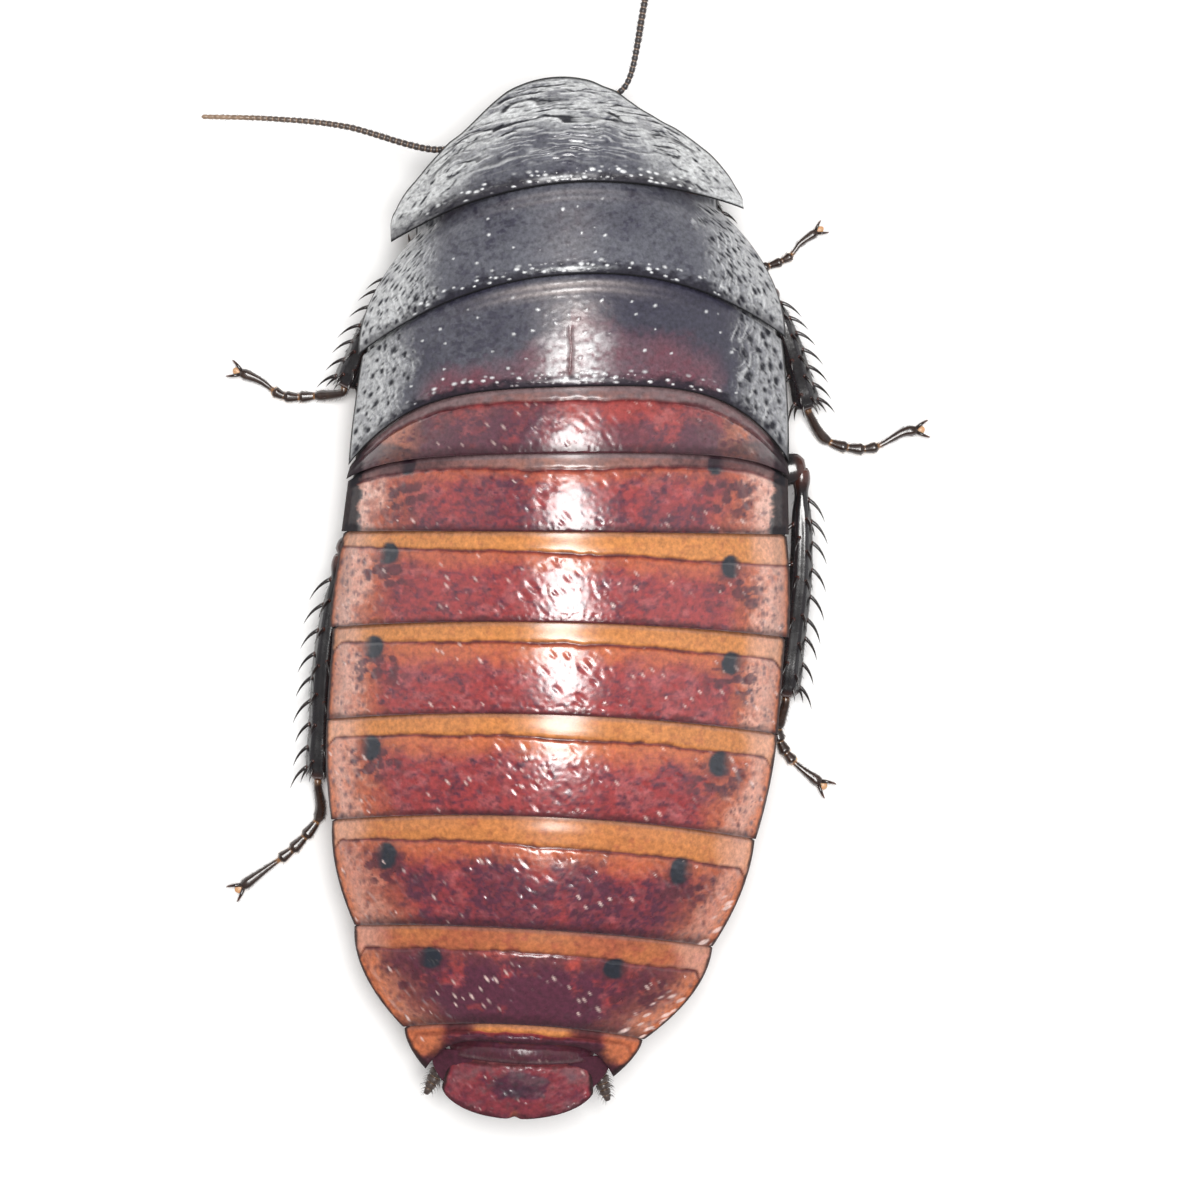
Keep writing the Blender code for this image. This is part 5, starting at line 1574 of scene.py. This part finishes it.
legLook = {
    # root, hip, knee and ankle of each leg, then the line of its toes over the floor
    "joints": {
        "fore_left": ((2.1, -14.1, 3.3), (4.0, -9.8, 2.3), (7.6, -14.65, 3.2), (8.4, -9.1, 1.25),
                      ((9.2, -8.8), (9.6, -9.9), (9.3, -11.1))),
        "fore_right": ((-1.4, -14.4, 3.3), (-3.7, -10.2, 2.3), (-7.1, -15.9, 3.2),
                       (-9.3, -9.9, 1.25),
                       ((-11.0, -9.7), (-12.7, -10.3), (-13.5, -11.2), (-14.5, -11.9))),
        "mid_left": ((2.1, -7.4, 3.2), (5.0, -3.4, 2.2), (9.6, -9.8, 3.2), (13.3, -2.7, 1.3),
                     ((15.0, -2.2), (16.9, -2.2), (18.3, -3.1), (19.5, -3.6))),
        "mid_right": ((-2.3, -7.3, 3.2), (-5.2, -3.4, 2.2), (-11.5, -8.3, 3.3), (-13.9, -1.4, 1.3),
                      ((-14.9, 0.3), (-16.4, 0.85), (-17.9, 0.8), (-19.5, -0.05), (-20.4, -0.2))),
        "hind_left": ((1.9, -1.3, 3.2), (3.5, 3.1, 2.2), (13.3, 7.1, 3.4), (14.8, 20.3, 1.4),
                      ((14.8, 22.5), (16.2, 24.3), (17.9, 25.6), (19.4, 26.7))),
        "hind_right": ((-2.1, -1.3, 3.2), (-3.3, 3.7, 2.2), (-13.4, 2.1, 3.7), (-12.6, 15.5, 1.4),
                       ((-12.2, 17.7), (-13.0, 19.2), (-14.7, 20.6)))},
    # half width and half depth of each segment
    "coxa": {"fore": (1.45, 0.8), "mid": (1.8, 0.85), "hind": (1.9, 0.85)},
    "femur": {"fore": (1.0, 0.65), "mid": (1.2, 0.7), "hind": (1.4, 0.75)},
    "shin": {"fore": (0.5, 0.46), "mid": (0.66, 0.56), "hind": (0.66, 0.56)},
    "bow": {"fore": 0.1, "mid": 0.15, "hind": 0.35},
    "kneeRun": {"fore": 1.22, "mid": 1.0, "hind": 0.62},
    "spines": {"fore": 5, "mid": 7, "hind": 9},
    "spineLength": {"fore": 1.1, "mid": 1.5, "hind": 1.65},
    # rows of spines: share outwards, share upwards, shares of their number and length,
    # first and last place
    "spineRows": ((1.0, 0.1, 1.0, 1.0, 0.14, 0.95), (0.55, 0.85, 0.7, 0.72, 0.22, 0.9),
                  (-1.0, 0.3, 0.6, 0.85, 0.25, 0.93), (-0.4, 0.9, 0.4, 0.55, 0.3, 0.85),
                  (0.7, -0.75, 0.5, 0.7, 0.25, 0.92)),
    # spines round the ankle: angle, share of the length
    "crown": ((8, 1.0), (60, 0.8), (118, 0.75), (172, 1.0), (236, 0.55), (300, 0.55)),
    "crownLength": 0.72,
    # half widths and depths along each segment, as (place, share)
    "coxaWide": ((0, 0.4), (0.1, 0.8), (0.35, 1.0), (0.7, 0.88), (0.92, 0.55), (1, 0.3)),
    "coxaDeep": ((0, 0.4), (0.15, 0.85), (0.5, 1.0), (0.85, 0.8), (1, 0.35)),
    "femurWide": ((0, 0.3), (0.05, 0.5), (0.11, 0.52), (0.16, 0.44), (0.26, 0.78), (0.42, 1.0),
                  (0.62, 0.98), (0.82, 0.76), (0.93, 0.62), (0.975, 0.52), (1, 0.3)),
    "femurDeep": ((0, 0.4), (0.05, 0.62), (0.11, 0.66), (0.16, 0.55), (0.26, 0.84), (0.42, 1.0),
                  (0.62, 1.0), (0.82, 0.92), (0.93, 0.86), (0.975, 0.7), (1, 0.4)),
    "shinWide": ((0, 0.45), (0.03, 0.72), (0.07, 0.78), (0.11, 0.62), (0.2, 0.8), (0.45, 0.97),
                 (0.8, 1.02), (0.93, 1.12), (0.98, 0.95), (1, 0.5)),
    "shinDeep": ((0, 0.5), (0.03, 0.8), (0.07, 0.86), (0.11, 0.68), (0.2, 0.85), (0.45, 1.0),
                 (0.8, 1.0), (0.93, 1.1), (0.98, 0.95), (1, 0.5)),
}

footLook = {
    "half": {"fore": 0.28, "mid": 0.34, "hind": 0.36},
    "level": {"fore": 0.31, "mid": 0.38, "hind": 0.4},
    "joints": (0.0, 0.33, 0.46, 0.58, 0.68, 1.0),
    # each segment's root, half width and half depth, as shares of the foot's half width
    "root": (0.62, 0.6, 0.6, 0.6, 0.45),
    "wide": (0.95, 1.0, 1.0, 0.95, 0.9),
    "deep": (0.95, 0.92, 0.9, 0.88, 0.8),
    "pads": (0.8, 1.0, 1.0, 1.05),
    "lobe": (0.3, 0.42, 0.52, 0.6, 0.66, 0.7, 0.72, 0.7, 0.64, 0.54, 0.4, 0.2),
    "clawLength": 0.95,
}


def profile(knots, count):
    # curve through the (place, share) knots along a segment
    places, shares = zip(*knots)
    return curveThrough(places, shares, np.linspace(0, 1, count))


def makeCoxa(leg, pair, root, hip, look, seed):
    # broad flattened boat with a long seam and a thin outer keel
    rows, sides = 46, 44
    wide, deep = look["coxa"][pair]
    path = smoothPath([root, (root + hip) / 2 + (0, 0, 0.05), hip], rows)
    w, d = wide * profile(look["coxaWide"], rows), deep * profile(look["coxaDeep"], rows)
    share, angle = np.linspace(0, 1, rows)[:, None], roundAngles(sides)
    seam = bell(angle - 4.4 - 0.5 * share, 0.1) * ramp(0.05, 0.2, share) * fall(0.8, 0.95, share)
    dents = cloudNoise(share * 9, angle * 1.5, seed)
    swell = 0.08 * np.cos(2 * angle) - 0.1 * seam + 0.03 * dents
    joint = (0.35 * ramp(0.82, 0.98, np.abs(np.cos(angle))) + 0.5 * ramp(0.85, 1.0, share)
             + 0.35 * fall(0.0, 0.2, share))
    masks = {"joint": clip01(joint), "ridge": 0.25 * ramp(0.1, 0.5, dents), "spine": 0.8 * seam}
    parts = [tubePart(limbRings(path, w, d, sides, swell), masks),
             bristlePart(path, w, d, 60, 0.35, 0.016, seed + 1)]
    addPiece(f"coxa_{leg}_shell", parts, legShell, [f"coxa_{leg}"])


def makeFemur(leg, pair, hip, knee, look, seed):
    # knob of the trochanter, a waist, then the deep thigh with a channel under it and a lobed knee
    rows, sides, below = 64, 40, 1.5 * np.pi
    wide, deep = look["femur"][pair]
    along = unit(knee - hip)
    path = smoothPath([hip - along * 0.25, hip + (knee - hip) / 2, knee + along * 0.2], rows)
    w, d = wide * profile(look["femurWide"], rows), deep * profile(look["femurDeep"], rows)
    share, angle = np.linspace(0, 1, rows)[:, None], roundAngles(sides)
    channel = bell(angle - below, 0.28) * ramp(0.3, 0.5, share) * fall(0.97, 1.0, share)
    keel = bell(angle - below - 0.55, 0.16) + bell(angle - below + 0.55, 0.16)
    grain = cloudNoise(share * 14, angle * 1.3, seed)
    swell = (-0.16 * channel + 0.07 * keel * ramp(0.3, 0.5, share) + 0.015 * grain
             + 0.03 * np.cos(2 * angle))
    waist = bell(share - 0.165, 0.02)
    masks = {"joint": clip01(waist + ramp(0.93, 1.0, share) * 0.8 + 0.15 * grain),
             "ridge": clip01(0.5 * keel + 0.25 * ramp(0.2, 0.6, grain)), "spine": channel}
    parts = [tubePart(limbRings(path, w, d, sides, swell), masks)]
    ahead, across, lift = pathFrames(path)
    k = np.linspace(30, 56, 4).astype(int)
    for turn in (-0.5, 0.5):
        out = unit(-lift[k] * math.cos(turn) + across[k] * math.sin(turn))
        base = path[k] + out * (d[k] * 0.9)[:, None]
        spines = spineRings(base, out, ahead[k], 0.6 * deep / 0.7, 0.085, 0.75)
        parts.append(tubePart(spines, {"spine": 1.0}))
    parts.append(bristlePart(path, w, d, 90, 0.3, 0.014, seed + 3, 0.15))
    addPiece(f"femur_{leg}_shell", parts, legShell, [f"femur_{leg}"])


def makeTibia(leg, pair, knee, ankle, outwardSide, look, seed):
    # ribbed shin, narrow at the knee; rows of curved spines in small collars, a crown at the ankle
    rows, sides = 90, 36
    wide, deep = look["shin"][pair]
    start = knee + unit(ankle - knee) * look["kneeRun"][pair]
    middle = start + (ankle - start) * 0.45 + outwardSide * look["bow"][pair] + (0, 0, 0.15)
    path = smoothPath([knee, start, middle, ankle], rows)
    w, d = wide * profile(look["shinWide"], rows), deep * profile(look["shinDeep"], rows)
    share, angle = np.linspace(0, 1, rows)[:, None], roundAngles(sides)
    grain = cloudNoise(share * 22, angle * 1.2, seed)
    ribs = np.cos(6 * angle + 0.4)
    swell = 0.05 * ribs * ramp(0.12, 0.25, share) + 0.018 * grain
    ridge = 0.35 * ramp(0.3, 1.0, ribs) * ramp(0.12, 0.3, share) + 0.2 * ramp(0.2, 0.6, grain)
    masks = {"joint": clip01(fall(0.0, 0.12, share) + ramp(0.95, 1.0, share) * 0.7),
             "ridge": clip01(ridge)}
    parts = [tubePart(limbRings(path, w, d, sides, swell), masks)]
    ahead, _, _ = pathFrames(path)
    length, up = look["spineLength"][pair], np.array([0.0, 0.0, 1.0])
    rng = np.random.default_rng(seed)
    for outShare, upShare, countShare, lengthShare, first, last in look["spineRows"]:
        number = max(2, int(round(look["spines"][pair] * countShare)))
        at = np.linspace(first, last, number) + rng.uniform(-0.012, 0.012, number)
        k = np.clip((at * (rows - 1)).astype(int), 1, rows - 2)
        out = outwardSide * outShare + up * upShare
        out = unit(out - ahead[k] * np.sum(out * ahead[k], -1, keepdims=True))
        radius = np.where(np.abs(out[:, 2]) > 0.7, d[k], w[k])
        base = path[k] + out * (radius * 0.86)[:, None]
        reach = length * lengthShare * rng.uniform(0.88, 1.08, number)
        spines = spineRings(base, out, ahead[k], reach, 0.125, 0.66, 8, 8)
        collars = spineRings(base - out * 0.05, out, ahead[k], 0.3, 0.19, 1.0, 4, 8)
        parts += [tubePart(spines, {"spine": 1.0}), tubePart(collars, {"joint": 0.6})]
    turn, share = np.array(look["crown"]).T
    turn = np.radians(turn)[:, None]
    out = outwardSide * np.cos(turn) + up * np.sin(turn)
    out = unit(out - ahead[-6] * np.sum(out * ahead[-6], -1, keepdims=True))
    crown = spineRings(path[-6] + out * (d[-6] * 0.8), out, ahead[-6],
                       length * look["crownLength"] * share, 0.12, 0.5, 8, 8)
    parts += [tubePart(crown, {"spine": 1.0}),
              bristlePart(path, w, d, 160, 0.3, 0.014, seed + 5, 0.1)]
    addPiece(f"tibia_{leg}_shell", parts, legShell, [f"tibia_{leg}"])
    return unit(path[-1] - path[-4])


def makeFoot(leg, pair, ankle, shinEnd, toes, look, seed):
    # five segments: long, three short, long; each one's radius grows as a power of the way along it
    half, sides, joints = look["half"][pair], 26, look["joints"]
    points = [ankle - shinEnd * 0.1, ankle + shinEnd * 0.45]
    points += [np.array([x, y, look["level"][pair]]) for x, y in toes]
    path = smoothPath(points, 91)
    share = np.linspace(0, 1, len(path))
    k, within = segmentPlace(joints, share)
    root = np.array(look["root"])[k]
    shape = root + (1 - root) * clip01(within / 0.82) ** np.where(k == 4, 1.6, 0.9)
    shape = half * shape * roundedEnd(within, 0.82, 0.22, 0.3)
    shape[-1] *= 0.5
    w, d = shape * np.array(look["wide"])[k], shape * np.array(look["deep"])[k]
    angle = roundAngles(sides)
    grain = cloudNoise(share[:, None] * 26, angle * 1.2, seed, 3)
    masks = {"joint": fall(0.0, 0.16, within)[:, None] + 0.15 * grain,
             "ridge": ramp(0.2, 0.6, grain)}
    swell = 0.04 * np.cos(5 * angle + 0.6) + 0.02 * grain
    parts = [tubePart(limbRings(path, w, d, sides, swell), masks),
             bristlePart(path, w, d, 150, 0.24, 0.012, seed + 2, 0.02, 0.98, 0.6)]
    addPiece(f"tarsus_{leg}_segments", parts, footShell, [f"tarsus_{leg}"])
    makePads(leg, path, d, half, look)
    makeClaws(leg, path, half, look)


def makePads(leg, path, deep, half, look):
    # soft half-sunk pads under the first four segments, and a flat lobe past the last one
    ahead, _, lift = pathFrames(path)
    joints, scale = look["joints"], half / look["half"]["hind"]
    parts = []
    for number, size in enumerate(look["pads"]):
        place = joints[number] + (joints[number + 1] - joints[number]) * 0.78
        k = int(round(place * (len(path) - 1)))
        middle = path[k] - lift[k] * deep[k] * 0.45
        middle[2] = max(half * 0.52, middle[2] - half * 0.1)
        along = np.linspace(-1, 1, 14)
        line = middle + ahead[k] * 0.34 * along[:, None] * size * scale
        bulge = np.sqrt(np.maximum(0.02, 1 - along ** 2))
        drop = min(middle[2] - 0.01, half * 0.62)
        parts.append(tubePart(limbRings(line, half * 0.86 * size * bulge, drop * bulge, 18),
                              {"edge": (1 - bulge)[:, None]}))
    lobe = path[-1] + ahead[-1] * np.linspace(-0.1, 0.42, 12)[:, None] + (0, 0, -0.08)
    lobeHalf = half * np.array(look["lobe"])
    parts.append(tubePart(limbRings(lobe, lobeHalf, lobeHalf * 0.5, 16), {"edge": 0.5}))
    addPiece(f"pads_{leg}", parts, padSkin)


def makeClaws(leg, path, half, look):
    # two curved cones that spread from the toe's end and bend down to the floor
    ahead, across, _ = pathFrames(path)
    size = look["clawLength"] * half / look["half"]["hind"]
    fore = size * unit(ahead[-1] * (1, 1, 0))
    way = np.linspace(0, 1, 22)
    thin = half * 0.34 * (1 - way ** 1.5 * 0.94)
    parts = []
    for side in (1, -1):
        root = path[-1] - ahead[-1] * 0.08 + across[-1] * side * half * 0.35
        spread = across[-1] * side * size
        line = smoothPath([root, root + fore * 0.35 + spread * 0.22 + (0, 0, 0.1),
                           root + fore * 0.72 + spread * 0.4 + (0, 0, -0.02),
                           root + fore * 0.9 + spread * 0.42 + (0, 0, 0.06 - root[2])], 22)
        parts.append(tubePart(limbRings(line, thin, thin * 1.15, 14),
                              {"tip": (1.6 * way - 0.6)[:, None]}))
    addPiece(f"claws_{leg}", parts, clawShell)


for number, (leg, (*bones, toes)) in enumerate(legLook["joints"].items()):
    pair, side = leg.split("_")
    root, hip, knee, ankle = np.array(bones)
    outwardSide = np.array([1.0 if side == "left" else -1.0, 0.0, 0.0])
    seed = 5000 + 100 * number
    makeCoxa(leg, pair, root, hip, legLook, seed)
    makeFemur(leg, pair, hip, knee, legLook, seed + 20)
    shinEnd = makeTibia(leg, pair, knee, ankle, outwardSide, legLook, seed + 40)
    makeFoot(leg, pair, ankle, shinEnd, toes, footLook, seed + 60)
print("legs made")

floorFinish = {
    "base": (252, 252, 252),
    "roughness": (0.75, 0.9),
    "coat": 0.0,
    "specular": 0.2,
    "grain": 0.01,
    "grainScale": 60.0,
    "micro": 0.00005,
    "microScale": 900.0,
}

roomLook = {
    "floorSize": 0.9,
    "world": 0.25,
    "cameraAt": (-0.0017, 0.0098, 0.220),
    "lens": 112.0,
    "lampAim": (-0.001, 0.008, 0.008),
    "lights": (
        # name, place, turn about the upright, width, length, watts, colour
        ("topSoftbox", (-0.022, -0.012, 0.33), 0.42, 0.12, 0.2, 1.2, (1.0, 0.985, 0.97)),
        ("leftSoftbox", (0.30, -0.06, 0.16), 0.0, 0.26, 0.26, 0.08, (1.0, 1.0, 1.0)),
        ("rightSoftbox", (-0.30, 0.0, 0.16), 0.0, 0.26, 0.26, 0.1, (0.96, 0.98, 1.0)),
    ),
}


def addHolder(name, data):
    # object at the origin that holds the mesh, light or camera
    holder = bpy.data.objects.new(name, data)
    bpy.context.scene.collection.objects.link(holder)
    return holder


def makeRoom(look):
    # flat square floor with a faint grain, soft lights aimed at the animal, a camera looking down
    side = look["floorSize"] / 2
    mesh = bpy.data.meshes.new("floor")
    corners = [(-side, -side, 0), (side, -side, 0), (side, side, 0), (-side, side, 0)]
    mesh.from_pydata(corners, [], [(0, 1, 2, 3)])
    floor = addHolder("floor", mesh)
    mesh.materials.append(chitin("floor_paint", **floorFinish))
    for name, place, turn, width, length, watts, tint in look["lights"]:
        lamp = bpy.data.lights.new(name, "AREA")
        lamp.shape = "RECTANGLE"
        lamp.size, lamp.size_y = width, length
        lamp.energy = watts
        lamp.color = tint
        holder = addHolder(name, lamp)
        holder.location = place
        x, y, z = np.array(look["lampAim"]) - place
        # tip back about X, then about Y, so that a lamp overhead keeps its length along the body
        holder.rotation_euler = (math.atan2(y, -z), -math.atan2(x, math.hypot(y, z)), turn)
    world = bpy.data.worlds.new("studio")
    bpy.context.scene.world = world
    world.use_nodes = True
    setInputs(world.node_tree, world.node_tree.nodes["Background"],
              {"Strength": look["world"], "Color": (1.0, 1.0, 1.0, 1.0)})
    camera = bpy.data.cameras.new("camera")
    camera.sensor_width = 36.0
    camera.lens = look["lens"]
    camera.clip_start, camera.clip_end = 0.005, 5.0
    holder = addHolder("camera", camera)
    holder.location = look["cameraAt"]
    holder.rotation_euler = (0.0, 0.0, math.pi)
    bpy.context.scene.camera = holder
    bpy.context.scene.view_settings.view_transform = "Standard"


makeRoom(roomLook)
print("room made")
